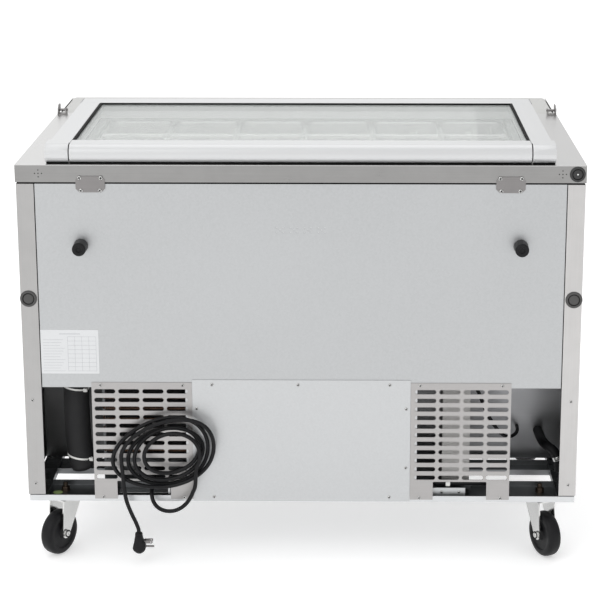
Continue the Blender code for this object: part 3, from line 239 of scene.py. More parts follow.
FLOOR = surface("studio_floor", (0.8, 0.8, 0.8), 0.85, 0.004, 0.03, 30.0,
                constants=(("Emission Color", (1.0, 1.0, 1.0, 1.0)), ("Emission Strength", 0.42)))

BAY_WALL_X, BAY_FRONT, BAY_TOP = -0.20, REAR_Y + 0.240, 0.420
POST_FACE, SIDE_FRONT = 0.6104, REAR_Y + 0.6875
RAIL_FACE, RAIL_FRONT, RAIL_FLOOR = 0.6085, REAR_Y + 0.6865, 0.1402
PAINTED_INNER_SHADE = (0.22, 0.22, 0.22)
# Painted shade: the tub liner's walls inside the compressor bay, darkest left of the bay wall.
paint_shade_within(TUB_SKIN, (None, None, None), (BAY_WALL_X, BAY_FRONT, BAY_TOP), PAINTED_INNER_SHADE)
paint_shade_within(TUB_SKIN, (BAY_WALL_X, None, None), (None, BAY_FRONT, BAY_TOP), (0.45, 0.45, 0.46))
# Painted shade: the counter's skirt and underside are darker than its top.
paint_shade_within(STEEL_TOP, (None, None, None), (None, None, COUNTER_TOP - 0.0015), (0.565, 0.561, 0.557))
# Painted shade: the side panels' inner faces, which lie in shade.
for steel in (STEEL_LEFT_SHADED, STEEL_RIGHT_LIT):
    paint_shade_within(steel, (-POST_FACE, REAR_Y + 0.0006, None), (POST_FACE, SIDE_FRONT, None), PAINTED_INNER_SHADE)
# Painted shade: the rail's inner floor and inner faces.
paint_shade_within(RAIL, (-RAIL_FACE, REAR_Y + 0.0025, RAIL_FLOOR), (RAIL_FACE, RAIL_FRONT, None),
            (0.34, 0.345, 0.35))


# ---------------- mesh helpers
AXES = {
    "X": lambda u, v, w: (w, u, v),
    "Y": lambda u, v, w: (u, w, v),
    "Z": lambda u, v, w: (u, v, w),
}


def deep(depth):
    """Y of a point that lies this far in front of the rear plane."""
    return REAR_Y + depth


def face_out(bm):
    bmesh.ops.recalc_face_normals(bm, faces=bm.faces[:])
    if bm.calc_volume(signed=True) < 0.0:
        bmesh.ops.reverse_faces(bm, faces=bm.faces[:])
    return bm


def prism(outline, axis, low, high, holes=()):
    """Closed prism of a flat outline, with holes, between two heights along an axis."""
    bm = bmesh.new()
    for loop in (outline, *holes):
        verts = [bm.verts.new((u, v, 0.0)) for u, v in loop]
        for start, end in zip(verts, verts[1:] + verts[:1]):
            bm.edges.new((start, end))
    if holes:
        bmesh.ops.triangle_fill(bm, edges=bm.edges[:], use_beauty=True)
    else:
        bm.faces.new(bm.verts[:])
    grown = bmesh.ops.extrude_face_region(bm, geom=bm.faces[:])
    top = [item for item in grown["geom"] if isinstance(item, bmesh.types.BMVert)]
    bmesh.ops.translate(bm, vec=(0.0, 0.0, high - low), verts=top)
    for vert in bm.verts:
        u, v, w = vert.co
        vert.co = AXES[axis](u, v, w + low)
    return face_out(bm)


def rectangle(u_low, u_high, v_low, v_high):
    return [(u_low, v_low), (u_high, v_low), (u_high, v_high), (u_low, v_high)]


def box(x_low, x_high, y_low, y_high, z_low, z_high):
    return prism(rectangle(x_low, x_high, y_low, y_high), "Z", z_low, z_high)


def circle(u, v, radius, sides=24):
    angles = [2.0 * math.pi * step / sides for step in range(sides)]
    return [(u + radius * math.cos(a), v + radius * math.sin(a)) for a in angles]


def rounded(u_low, u_high, v_low, v_high, radius, steps=6):
    """Rectangle with round corners."""
    corners = (
        (u_high - radius, v_high - radius, 0.0),
        (u_low + radius, v_high - radius, 0.5),
        (u_low + radius, v_low + radius, 1.0),
        (u_high - radius, v_low + radius, 1.5),
    )
    points = []
    for u, v, start in corners:
        for step in range(steps + 1):
            angle = math.pi * (start + 0.5 * step / steps)
            points.append((u + radius * math.cos(angle), v + radius * math.sin(angle)))
    return points


def slot_hole(u, v, length, height):
    """Slot with half-round ends."""
    half, radius = length / 2.0, height / 2.0
    return rounded(u - half, u + half, v - radius, v + radius, radius - 1e-5, 8)


def turned(profile, steps=48):
    """Body turned round Z from (radius, height) points."""
    bm = bmesh.new()
    verts = [bm.verts.new((radius, 0.0, height)) for radius, height in profile]
    for start, end in zip(verts, verts[1:]):
        bm.edges.new((start, end))
    bmesh.ops.spin(bm, geom=bm.verts[:] + bm.edges[:], cent=(0.0, 0.0, 0.0), axis=(0.0, 0.0, 1.0),
                   angle=2.0 * math.pi, steps=steps, use_merge=True)
    bmesh.ops.remove_doubles(bm, verts=bm.verts[:], dist=1e-6)
    return face_out(bm)


def band(inner, outer, low, high):
    """Profile of a plain ring, for turned."""
    return [(inner, low), (outer, low), (outer, high), (inner, high), (inner, low)]


def lofted(rings):
    """Skin through rings of points, closed at the last one."""
    bm = bmesh.new()
    rings = [[bm.verts.new(point) for point in ring] for ring in rings]
    for upper, lower in zip(rings, rings[1:]):
        for i in range(len(upper)):
            j = (i + 1) % len(upper)
            bm.faces.new((upper[i], upper[j], lower[j], lower[i]))
    bm.faces.new(rings[-1])
    return bm


def rod(radius, start, end, sides=20):
    """Closed round bar between two points."""
    start = Vector(start)
    along = Vector(end) - start
    bm = prism(circle(0.0, 0.0, radius, sides), "Z", 0.0, along.length)
    spin = along.to_track_quat("Z", "Y").to_matrix().to_4x4()
    bm.transform(Matrix.Translation(start) @ spin)
    return bm


def moved(bm, matrix):
    bm.transform(matrix)
    return face_out(bm)


def towards(direction, place):
    """Matrix that lays +Z along a direction, at a place."""
    spin = Vector(direction).to_track_quat("Z", "Y").to_matrix().to_4x4()
    return Matrix.Translation(place) @ spin


def joined(shapes):
    """One bmesh holding all the given ones."""
    whole = bmesh.new()
    for shape in shapes:
        mesh = bpy.data.meshes.new("part")
        shape.to_mesh(mesh)
        shape.free()
        whole.from_mesh(mesh)
        bpy.data.meshes.remove(mesh)
    return whole


def shown(name, data, material, body, stands_for):
    """Object for a mesh or curve, riding on a body."""
    data.materials.append(material)
    thing = bpy.data.objects.new(name, data)
    bpy.context.scene.collection.objects.link(thing)
    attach(thing, body)
    if stands_for:
        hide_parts(*stands_for)
    return thing


def piece(name, shape, material, body="cabinet", stands_for=(), edge=0.0, smooth=30.0):
    """Visible piece made of one shape or a list of them, with rounded edges where edge is given."""
    mesh = bpy.data.meshes.new(name)
    bm = joined(shape) if isinstance(shape, list) else shape
    bm.to_mesh(mesh)
    bm.free()
    mesh.shade_smooth()
    mesh.set_sharp_from_angle(angle=math.radians(smooth))
    thing = shown(name, mesh, material, body, stands_for)
    if edge:
        soften(thing, edge)
    return thing


def soften(thing, width):
    """Round the sharp edges of a piece without touching its own mesh."""
    weld = thing.modifiers.new("weld", "WELD")
    weld.merge_threshold = 1e-5
    bevel = thing.modifiers.new("edges", "BEVEL")
    bevel.width = width
    bevel.segments = 2
    bevel.limit_method = "ANGLE"
    bevel.angle_limit = math.radians(40.0)
    bevel.use_clamp_overlap = True


def smooth_curve(points, spacing):
    """Points at an even spacing on a smooth curve through the given points."""
    points = [Vector(point) for point in points]
    ends = [2 * points[0] - points[1], *points, 2 * points[-1] - points[-2]]
    fine = []
    for a, b, c, d in zip(ends, ends[1:], ends[2:], ends[3:]):
        for step in range(16):
            t = step / 16.0
            fine.append(0.5 * (2 * b + (c - a) * t + (2 * a - 5 * b + 4 * c - d) * t * t
                               + (3 * b - a - 3 * c + d) * t ** 3))
    fine.append(points[-1])
    total = sum((end - start).length for start, end in zip(fine, fine[1:]))
    count = max(2, round(total / spacing))
    result = [fine[0]]
    travelled = 0.0
    for start, end in zip(fine, fine[1:]):
        length = (end - start).length
        while len(result) < count and travelled + length >= len(result) * total / count:
            share = (len(result) * total / count - travelled) / length
            result.append(start.lerp(end, share))
        travelled += length
    result.append(fine[-1])
    return result


def tube(name, points, radius, material, stands_for=(), resolution=5):
    """Round tube along points, made as a bevelled curve."""
    curve = bpy.data.curves.new(name, "CURVE")
    curve.dimensions = "3D"
    curve.bevel_depth = radius
    curve.bevel_resolution = resolution
    curve.use_fill_caps = True
    spline = curve.splines.new("POLY")
    spline.points.add(len(points) - 1)
    for knot, point in zip(spline.points, points):
        knot.co = (*point, 1.0)
    spline.use_smooth = True
    return shown(name, curve, material, "cabinet", stands_for)


# ---------------- camera
def camera():
    """The photograph's view: from behind the table, above it and close to its middle."""
    data = bpy.data.cameras.new("camera")
    data.sensor_width = 36.0
    data.lens = 111.31
    data.shift_x = -0.0538
    data.shift_y = -0.1
    thing = bpy.data.objects.new("camera", data)
    thing.location = (0.1035, -4.2949, 1.7235)
    thing.rotation_euler = (math.radians(90.0 - 14.174), 0.0, math.radians(0.52))
    bpy.context.scene.collection.objects.link(thing)
    bpy.context.scene.camera = thing


# ---------------- power cord
def loop_at(turn):
    """Values of the coil's loop at a number of turns, blended smoothly between its keys."""
    last = len(COIL_LOOPS) - 2
    index = max(i for i in range(last + 1) if i == 0 or COIL_LOOPS[i][0] <= turn)
    before, near = COIL_LOOPS[max(index - 1, 0)], COIL_LOOPS[index]
    far, after = COIL_LOOPS[index + 1], COIL_LOOPS[min(index + 2, last + 1)]
    span = far[0] - near[0]
    t = (turn - near[0]) / span
    values = []
    for a, b, c, d in zip(before[1:], near[1:], far[1:], after[1:]):
        leave = (c - a) / (far[0] - before[0]) * span
        arrive = (d - b) / (after[0] - near[0]) * span
        values.append((2 * t ** 3 - 3 * t ** 2 + 1) * b + (t ** 3 - 2 * t ** 2 + t) * leave
                      + (3 * t ** 2 - 2 * t ** 3) * c + (t ** 3 - t ** 2) * arrive)
    return values


def coil_points():
    count = round(COIL_TURNS * COIL_STEPS_PER_TURN)
    points = []
    for step in range(count + 1):
        turn = COIL_TURNS * step / count
        x, z, half_x, half_z, tilt, y = loop_at(turn)
        tilt = math.radians(tilt)
        angle = COIL_START + 2.0 * math.pi * turn - tilt
        u, v = half_x * math.cos(angle), half_z * math.sin(angle)
        points.append((x + u * math.cos(tilt) - v * math.sin(tilt), y,
                       z + u * math.sin(tilt) + v * math.cos(tilt)))
    return points


def plug_body():
    """Moulded angle plug: a lofted grip under a ribbed neck, with two blades and a pin."""
    x, y, _ = TAIL_ROUTE[-1]
    levels = (
        # height, centre shift in X, half width in X, half width in Y
        (0.0722, 0.0, 0.0068, 0.006), (0.0716, 0.0, 0.0078, 0.0069),
        (0.069, 0.0, 0.0081, 0.0072), (0.064, 0.0, 0.0087, 0.0077),
        (0.0585, 0.0, 0.0098, 0.0085), (0.054, 0.0006, 0.011, 0.0095),
        (0.0495, 0.0012, 0.0126, 0.0106), (0.045, 0.001, 0.0135, 0.0116),
        (0.039, 0.0004, 0.0145, 0.0122), (0.035, 0.0002, 0.0148, 0.0121),
        (0.031, 0.0004, 0.0131, 0.0112), (0.0275, 0.0006, 0.01, 0.0094),
        (0.0245, 0.0006, 0.0064, 0.0068), (0.0226, 0.0006, 0.0026, 0.0034),
    )
    sides, squareness = 28, 0.62
    rings = []
    for z, shift, half_x, half_y in levels:
        ring = []
        for step in range(sides):
            angle = 2.0 * math.pi * step / sides
            u, v = (math.copysign(abs(part) ** squareness, part)
                    for part in (math.cos(angle), math.sin(angle)))
            ring.append((x + shift + u * half_x, y + v * half_y, z))
        rings.append(ring)
    bm = lofted(rings)
    bm.verts.ensure_lookup_table()
    bm.faces.new(bm.verts[:sides])
    grip = piece("plug_grip", face_out(bm), BLACK, stands_for=["plug"], smooth=50.0)
    rib_profile = [(0.0, 0.0), (0.008, 0.0), (0.0088, 0.0008), (0.008, 0.0016), (0.0, 0.0016)]
    ribs = [moved(turned(rib_profile, 32), Matrix.Translation((x, y, 0.06 + 0.0026 * step)))
            for step in range(4)]
    neck = piece("plug_neck_ribs", ribs, BLACK)
    root, tip, blade_z, half_thick = x + 0.012, x + 0.031, 0.052, 0.0008
    contacts = []
    for side, _ in SIDES:
        middle = y + side * 0.00635
        blade = rounded(root, tip, blade_z - 0.0032, blade_z + 0.0032, 0.0016, 4)
        hole = circle(tip - 0.0042, blade_z, 0.0014, 12)
        contacts.append(prism(blade, "Y", middle - half_thick, middle + half_thick, [hole]))
    ground = [(0.0, 0.0), (0.0024, 0.0), (0.0024, 0.0205), (0.002, 0.0222), (0.001, 0.0232), (0.0, 0.0235)]
    contacts.append(moved(turned(ground, 20), towards((1.0, 0.0, 0.0), (root - 0.001, y, 0.0395))))
    contacts = piece("plug_blades", contacts, STEEL_PLATE, edge=0.0002)
    face = box(x + 0.0105, x + 0.015, y - 0.0085, y + 0.0085, 0.0345, 0.0535)
    face = piece("plug_face", face, BLACK, edge=0.0006)
    return grip, neck, contacts, face


def strain_relief():
    """Ribbed, tapered sleeve where the cord leaves its terminal box."""
    start = Vector(LEAD_ROUTE[0])
    down = Vector((0.0, -1.0, -1.0)).normalized()
    length = 0.0192
    root = start - down * (length + HAIR)
    profile = [(0.0, 0.0004), (0.0085, 0.0004), (0.0088, 0.0012), (0.0088, 0.0042), (0.0083, 0.005)]
    rings = 5
    for ring in range(rings):
        at = 0.0056 + ring * 0.0026
        radius = 0.007 - 0.0018 * ring / rings
        profile += [(radius, at), (radius, at + 0.0016), (radius - 0.001, at + 0.0018),
                    (radius - 0.001, at + 0.0024)]
    profile += [(0.005, length - 0.0006), (0.0046, length), (0.0, length)]
    return piece("cord_strain_relief", moved(turned(profile, 32), towards(down, root)), RUBBER,
                 stands_for=["cord_gland"])


def cord():
    """The whole power cord as one line: lead, coil and tail, with its plug and strain relief."""
    route = [*LEAD_ROUTE, *coil_points(), *TAIL_ROUTE]
    flex = tube("power_cord", smooth_curve(route, CORD_STEP), CORD_RADIUS, CORD_SKIN,
                stands_for=["cord_lead", "cord_coil", "cord_tail"])
    ends = [*plug_body(), strain_relief()]


# ---------------- fasteners and small trim
def pan_head(radius, height):
    """Cross-recess screw head about +Z: the head, and a near-black cross on it that paints the shade in its
    recess.
    """
    profile = [(0.0, height), (0.3 * radius, height), (0.62 * radius, height * 0.9),
               (0.88 * radius, height * 0.58), (radius, height * 0.12), (radius, 0.0), (0.0, 0.0)]
    head = turned(profile, 24)
    arm, width = 0.64 * radius, 0.2 * radius
    cross = [(-width, -arm), (width, -arm), (width, -width), (arm, -width), (arm, width), (width, width),
             (width, arm), (-width, arm), (-width, width), (-arm, width), (-arm, -width), (-width, -width)]
    return head, prism(cross, "Z", height * 0.4, height + HAIR)


def screws(name, places, radius, height=0.002):
    """A group of like screws on faces that look to the rear."""
    heads, marks = [], []
    for index, place in enumerate(places):
        matrix = towards(REARWARD, place) @ Matrix.Rotation(0.4 + 1.1 * index, 4, "Z")
        head, mark = pan_head(radius, height)
        heads.append(moved(head, matrix))
        marks.append(moved(mark, matrix))
    piece(name, heads, BOLT, smooth=40.0)
    # The near-black crosses paint the shade in the screws' recesses.
    piece(f"{name}_recesses", marks, RECESS_SHADE)


def mirrored(distances, heights, y):
    """Places on both sides of the middle, at each distance from it and each height."""
    return [(side * x, y, z) for side, _ in SIDES for x in distances for z in heights]


def rear_fasteners():
    face_y = deep(-HAIR)
    places = [(x, face_y, 0.414) for x in (-0.197, -0.007, 0.195)]
    places += mirrored((0.2315,), (0.3585, 0.2207), face_y) + mirrored((0.1955,), (0.1505,), face_y)
    screws("service_panel_screws", places, 0.0038)
    screws("grille_screws", mirrored((0.443, 0.262), (0.413, 0.1495), face_y), 0.0038)
    screws("post_screws", mirrored((0.594,), (0.377, 0.1815), face_y), 0.0036)
    plate_y, plate_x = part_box("fixing_plate_left")[0].y - HAIR, 0.4508
    places = [(side * plate_x + offset, plate_y, z) for side, _ in SIDES
              for offset, z in ((-0.0229, 0.8795), (0.0229, 0.8795), (-0.0203, 0.852), (0.0203, 0.852))]
    screws("fixing_plate_screws", places, 0.0047, 0.0024)


def round_plug(name, place, radius, material):
    """Push-in plug: a raised rim, a deep groove and a flat middle, with the groove's floor painted
    near-black as shade.
    """
    profile = [(0.0, 0.0022), (0.52 * radius, 0.0022), (0.58 * radius, 0.0018), (0.6 * radius, 0.0004),
               (0.68 * radius, 0.0004), (0.7 * radius, 0.0026), (0.74 * radius, 0.0034),
               (0.86 * radius, 0.0036), (0.95 * radius, 0.0028), (radius, 0.0006), (radius, 0.0), (0.0, 0.0)]
    piece(name, moved(turned(profile), towards(REARWARD, place)), material,
          smooth=50.0)
    # Painted shade: a near-black ring in the groove.
    groove = turned(band(0.6 * radius, 0.69 * radius, 0.0005, 0.001))
    piece(f"{name}_groove", moved(groove, towards(REARWARD, place)), RECESS_SHADE)


def plugs_and_marks():
    """Hole plugs on the posts and the skirt, and five small holes at each end of the skirt, drawn as
    near-black dots of painted shade.
    """
    face_y, skirt_z = deep(-HAIR), 0.889
    for side, name in SIDES:
        round_plug(f"post_plug_{name}", (side * 0.5935, face_y, 0.61), 0.0186, PLUG_GREY)
    skirt_place = (0.593, face_y, skirt_z)
    round_plug("skirt_plug_right", skirt_place, 0.017, PLUG_DARK)
    nub = turned([(0.0, 0.003), (0.0012, 0.0028), (0.0017, 0.0021), (0.0, 0.0021)], 20)
    piece("skirt_plug_nub", moved(nub, towards(REARWARD, skirt_place)), WIRE_COAT,
          smooth=60.0)
    # Painted shade: each hole is a near-black disc on the skirt.
    dots, apart = [], 0.0075
    for x in (-0.562, 0.561):
        for u, v in ((0.0, 0.0), (apart, 0.0), (-apart, 0.0), (0.0, apart), (0.0, -apart)):
            dots.append(rod(0.0013, (x + u, face_y, skirt_z + v), (x + u, face_y - 0.0003, skirt_z + v), 12))
    piece("skirt_hole_shade", dots, RECESS_SHADE)


def label():
    """Film with a ruled table, a heading line and a column of text-like lines."""
    film_y, thick, thin = PANEL_LOW.y - HAIR, 0.0003, 0.0005
    outline = rounded(-0.572, -0.444, 0.4385, 0.539, 0.002)
    piece("rating_label", prism(outline, "Y", film_y - thick, film_y), LABEL)
    left, middle, right, low, high = -0.566, -0.512, -0.45, 0.4445, 0.523
    marks = [rectangle(-0.53, -0.484, 0.529, 0.5302)]
    for row in range(9):
        z = low + (high - low) * row / 8.0
        marks.append(rectangle(middle, right, z, z + thin))
    for column in range(5):
        x = middle + (right - middle) * column / 4.0
        marks.append(rectangle(x, x + thin, low, high))
    for row in range(12):
        z = low + 0.0065 * row
        marks.append(rectangle(left, middle - 0.006 - 0.011 * (row * 7 % 4) / 3.0, z, z + thin))
    ink_y = film_y - thick - 0.00005
    lines = [prism(mark, "Y", ink_y - 0.0001, ink_y) for mark in marks]
    piece("rating_label_ruling", lines, LABEL_INK)


# ---------------- rear side
def slotted_sheet(name, node, outline, slots, material):
    """Sheet with round-ended slots that stands for a CAD node, at the node's own depth."""
    low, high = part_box(node)
    piece(name, prism(outline, "Y", low.y, high.y, slots), material, stands_for=[node], edge=0.0003)


def rear_grilles():
    for side, name in SIDES:
        node = f"grille_rear_{name}"
        low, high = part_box(node)
        notch_top, radius = 0.1875, 0.0015
        left, right = sorted((side * 0.2925, side * 0.4118))
        outline = [(low.x, low.z), (left, low.z), (left, notch_top - radius), (left + radius, notch_top),
                   (right - radius, notch_top), (right, notch_top - radius), (right, low.z), (high.x, low.z),
                   (high.x, high.z), (low.x, high.z)]
        slots = [slot_hole(side * (0.274 + 0.0533 * column), 0.398 - 0.02005 * row, 0.0468, 0.01)
                 for column in range(4) for row in range(11)]
        slotted_sheet(f"rear_grille_{name}", node, outline, slots, STEEL_GRILLE)


def kick_plate():
    low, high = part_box("kick_grille")
    slots = [slot_hole(-0.495 + 0.11 * column, 0.175 + 0.018 * row, 0.085, 0.008)
             for column in range(10) for row in range(2)]
    outline = rectangle(low.x, high.x, low.z, high.z)
    slotted_sheet("front_kick_grille", "kick_grille", outline, slots, STEEL_DOOR)


def bumpers():
    for _, name in SIDES:
        node = f"rear_bumper_{name}"
        low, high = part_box(node)
        length = high.y - low.y
        middle = (low + high) / 2.0
        profile = [(0.0, length - 0.0035), (0.0055, length - 0.0035), (0.0062, length - 0.0015),
                   (0.0112, length), (0.0136, length - 0.0006), (0.0146, length - 0.0024),
                   (0.015, length - 0.006), (0.0152, 0.014), (0.0156, 0.004), (0.0158, 0.0008),
                   (0.0154, 0.0), (0.0, 0.0)]
        shape = moved(turned(profile, 56), towards(REARWARD, (middle.x, high.y, middle.z)))
        piece(f"wall_bumper_{name}", shape, BLACK, stands_for=[node], smooth=50.0)


# ---------------- compressor bay
def fin_pack(name, node, pitch):
    """Finned heat exchanger: thin plates, two end sheets and rows of tube bends."""
    low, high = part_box(node)
    end, row_pitch, tube_radius, reach = 0.01, 0.025, 0.004, 0.009
    shapes = []
    for index in range(int((high.x - low.x - 2.0 * end) / pitch) + 1):
        x = low.x + end + index * pitch
        shapes.append(box(x, x + 0.0004, low.y + 0.002, high.y - 0.002, low.z + 0.003, high.z - 0.003))
    for x in (low.x + end - 0.0015, high.x - end + 0.0005):
        shapes.append(box(x, x + 0.0012, low.y, high.y, low.z, high.z))
    piece(name, shapes, FINS, stands_for=[node], smooth=10.0)
    bends = []
    middle = (low.y + high.y) / 2.0
    for row in range(int((high.z - low.z - 0.02) / row_pitch)):
        z = low.z + 0.0225 + row * row_pitch
        for y in (middle - reach, middle + reach):
            bends.append(rod(tube_radius, (low.x + end, y, z), (high.x - end, y, z), 10))
        for x, way in ((low.x + end, -1.0), (high.x - end, 1.0)):
            angles = [math.pi * step / 8.0 for step in range(9)]
            arc = [(x + way * 0.0055 * math.sin(a), middle - reach * math.cos(a), z) for a in angles]
            bends += [rod(tube_radius, first, second, 10) for first, second in zip(arc, arc[1:])]
    piece(f"{name}_tubes", bends, COPPER)


def cable_tie(name, centre, radius, way):
    """Nylon tie round an upright pipe, with its head towards way."""
    strap = turned(band(radius - 0.0001, radius + 0.0013, -0.0022, 0.0022), 40)
    strap = moved(strap, Matrix.Translation(centre) @ Matrix.Rotation(math.radians(9.0), 4, "Y"))
    spot = Vector((way[0] * (radius + 0.002), way[1] * (radius + 0.002), -way[0] * radius * 0.158))
    head = box(-0.0045, 0.0045, -0.0035, 0.0035, -0.004, 0.004)
    head = moved(head, Matrix.Translation(Vector(centre) + spot))
    piece(name, [strap, head], TIE, edge=0.0005)


def suction_line():
    """Foam-covered suction pipe with a rounded end and two ties."""
    pipe_x, pipe_y = -0.508, deep(0.075)
    route = [
        (pipe_x, pipe_y, 0.4095), (pipe_x, pipe_y, 0.37), (pipe_x, pipe_y, 0.33),
        (pipe_x + 0.002, pipe_y, 0.26), (pipe_x + 0.008, pipe_y - 0.002, 0.214),
        (pipe_x + 0.014, pipe_y - 0.004, 0.198),
    ]
    tube("suction_foam", smooth_curve(route, 0.008), 0.029, FOAM,
         stands_for=["suction_pipe_insulation"], resolution=9)
    end = Vector(route[-1])
    dome = [(0.0, -0.012), (0.01, -0.0112), (0.02, -0.008), (0.026, -0.004), (0.0289, 0.0),
            (0.0289, 0.004), (0.0, 0.004)]
    lean = Vector(route[-2]) - end
    dome = moved(turned(dome, 40), towards(lean, end))
    piece("suction_foam_end", dome, FOAM, smooth=60.0)
    cable_tie("suction_tie_upper", (pipe_x, pipe_y, 0.386), 0.0292, (0.75, -0.66))
    cable_tie("suction_tie_lower", (pipe_x + 0.006, pipe_y - 0.001, 0.222), 0.0294, (0.8, -0.6))


def small_pipes():
    discharge = [
        (0.02, deep(0.13), 0.3), (-0.04, deep(0.13), 0.3), (-0.1, deep(0.126), 0.306),
        (-0.16, deep(0.108), 0.32), (-0.2, deep(0.085), 0.338), (-0.2345, deep(0.071), 0.345),
    ]
    tube("discharge_line", smooth_curve(discharge, 0.005), 0.0048, COPPER,
         stands_for=["discharge_pipe"])
    cable = [
        (0.3795, deep(0.08), 0.388), (0.389, deep(0.08), 0.385), (0.4, deep(0.081), 0.362),
        (0.41, deep(0.082), 0.334), (0.425, deep(0.088), 0.304), (0.442, deep(0.1), 0.276),
        (0.46, deep(0.124), 0.252), (0.478, deep(0.152), 0.24), (0.492, deep(0.184), 0.236),
        (0.498, deep(0.21), 0.236), (0.499, deep(0.2342), 0.236),
    ]
    tube("probe_lead", smooth_curve(cable, 0.005), 0.004, RUBBER, stands_for=["probe_cable"])


def compressor_body():
    low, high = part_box("compressor")
    middle = (low + high) / 2.0
    foot = low.z
    profile = [
        (0.0, 0.185), (0.02, 0.1842), (0.04, 0.18), (0.056, 0.171), (0.065, 0.16), (0.0688, 0.147),
        (0.0695, 0.115), (0.07, 0.113), (0.0745, 0.112), (0.075, 0.11), (0.075, 0.1045),
        (0.0742, 0.103), (0.07, 0.102), (0.069, 0.06), (0.067, 0.046), (0.058, 0.031),
        (0.045, 0.024), (0.0, 0.0222),
    ]
    pot = moved(turned(profile, 64), Matrix.Translation((middle.x, middle.y, foot)))
    plate = rounded(middle.x - 0.085, middle.x + 0.085, middle.y - 0.055, middle.y + 0.055, 0.012)
    plate = prism(plate, "Z", foot + 0.012, foot + 0.0145)
    column = rod(0.035, (middle.x, middle.y, foot + 0.013), (middle.x, middle.y, foot + 0.03), 40)
    cover = box(middle.x - 0.022, middle.x + 0.022, middle.y - 0.09, middle.y - 0.064, foot + 0.07,
                foot + 0.125)
    piece("compressor_pot", [pot, column, plate], ENAMEL, stands_for=["compressor"])
    piece("compressor_relay_cover", cover, BLACK, edge=0.004)
    profile = [(0.0, 0.013), (0.0075, 0.013), (0.0085, 0.011), (0.0075, 0.009), (0.0095, 0.004),
               (0.011, 0.001), (0.011, 0.0), (0.0, 0.0)]
    feet = [moved(turned(profile, 28), Matrix.Translation((middle.x + x, middle.y + y, foot)))
            for x in (-0.072, 0.072) for y in (-0.042, 0.042)]
    piece("compressor_feet", feet, RUBBER, smooth=50.0)


def caster_nuts():
    nuts, washers = [], []
    for x in (-0.5375, 0.5375):
        y = deep(0.06)
        levels = [RAIL_SEAT + up for up in (0.0, 0.002, 0.01, 0.019)]
        washers.append(rod(0.0102, (x, y, levels[0]), (x, y, levels[1]), 28))
        nuts.append(rod(0.0095, (x, y, levels[1]), (x, y, levels[2]), 6))
        nuts.append(rod(0.0055, (x, y, levels[2]), (x, y, levels[3]), 20))
    piece("caster_nuts", nuts, BRASS_NUT, edge=0.0006)
    piece("caster_washers", washers, BRASS_NUT, edge=0.0003)


def rail_details():
    """Sticker, brackets, harness and drain that stand on the rear rail."""
    rail_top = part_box("base_frame")[1].z
    sticker = prism(circle(-0.5532, deep(0.046), 0.0106, 40), "Z", RAIL_SEAT, RAIL_SEAT + 0.0003)
    piece("rail_sticker", sticker, STICKER)
    upright = box(-0.3, -0.2945, deep(0.01), deep(0.022), rail_top, 0.178)
    shelf = box(-0.41, -0.295, deep(0.014), deep(0.0385), rail_top, rail_top + 0.0015)
    piece("terminal_bracket", [upright, shelf], ZINCED_COVER, edge=0.0004)
    cover = box(-0.2985, -0.26, deep(0.016), deep(0.034), rail_top + 0.0002, 0.186)
    piece("fan_capacitor_cover", cover, GREY_BOX, edge=0.0012)
    plate = box(0.291, 0.366, deep(0.014), deep(0.0155), 0.146, 0.168)
    piece("junction_bracket", plate, ZINCED_COVER, edge=0.0004)
    places = [(-0.279, deep(0.0159), 0.16), (0.313, deep(0.0139), 0.158), (0.352, deep(0.0139), 0.158)]
    screws("bracket_screws", places, 0.0034)
    clip = box(0.322, 0.332, deep(0.013), deep(0.02), 0.172, 0.182)
    piece("harness_clip", clip, TIE, edge=0.001)
    harness = [(0.286, deep(0.03), 0.176), (0.31, deep(0.026), 0.1775), (0.35, deep(0.026), 0.1765),
               (0.385, deep(0.03), 0.1745), (0.42, deep(0.036), 0.172)]
    tube("junction_harness", smooth_curve(harness, 0.006), 0.0065, RUBBER)
    elbow = [(0.548, deep(0.2335), 0.226), (0.549, deep(0.19), 0.227), (0.552, deep(0.15), 0.228),
             (0.56, deep(0.126), 0.226), (0.572, deep(0.116), 0.219), (0.581, deep(0.113), 0.206),
             (0.585, deep(0.112), 0.19), (0.586, deep(0.112), 0.172)]
    tube("drain_elbow", smooth_curve(elbow, 0.004), 0.011, RUBBER, resolution=7)
    clamp = turned(band(0.0111, 0.0126, -0.005, 0.005), 36)
    clamp = moved(clamp, towards((0.36, -0.06, -0.93), (0.582, deep(0.1128), 0.2035)))
    worm = box(0.5775, 0.589, deep(0.099), deep(0.104), 0.1995, 0.2065)
    piece("drain_clamp", [clamp, worm], ZINC, edge=0.0004)


def bay():
    fin_pack("condenser_fins", "condenser_coil", 0.003)
    suction_line()
    small_pipes()
    compressor_body()
    caster_nuts()
    rail_details()
    low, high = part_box("terminal_box")
    lid = box(low.x - 0.001, high.x + 0.001, low.y - 0.0012, low.y - HAIR, low.z + 0.021, high.z - 0.001)
    piece("terminal_box_lid", lid, BLACK, edge=0.0006)


# ---------------- casters
def wheel_profile():
    half = 0.016
    bore = 0.0053
    side = [
        (bore, half + 0.0015), (0.012, half + 0.0015), (0.013, half + 0.0006), (0.0145, half - 0.0035),
        (0.016, half - 0.0042), (0.033, half - 0.0042), (0.0345, half - 0.0036), (0.0362, half - 0.001),
        (0.0385, half - 0.0005), (0.044, half - 0.001), (0.047, half - 0.0025), (0.0492, half - 0.0048),
        (0.0505, half - 0.008), (0.051, half - 0.012), (0.051, 0.0),
    ]
    return side + [(radius, -height) for radius, height in reversed(side[:-1])] + [side[0]]


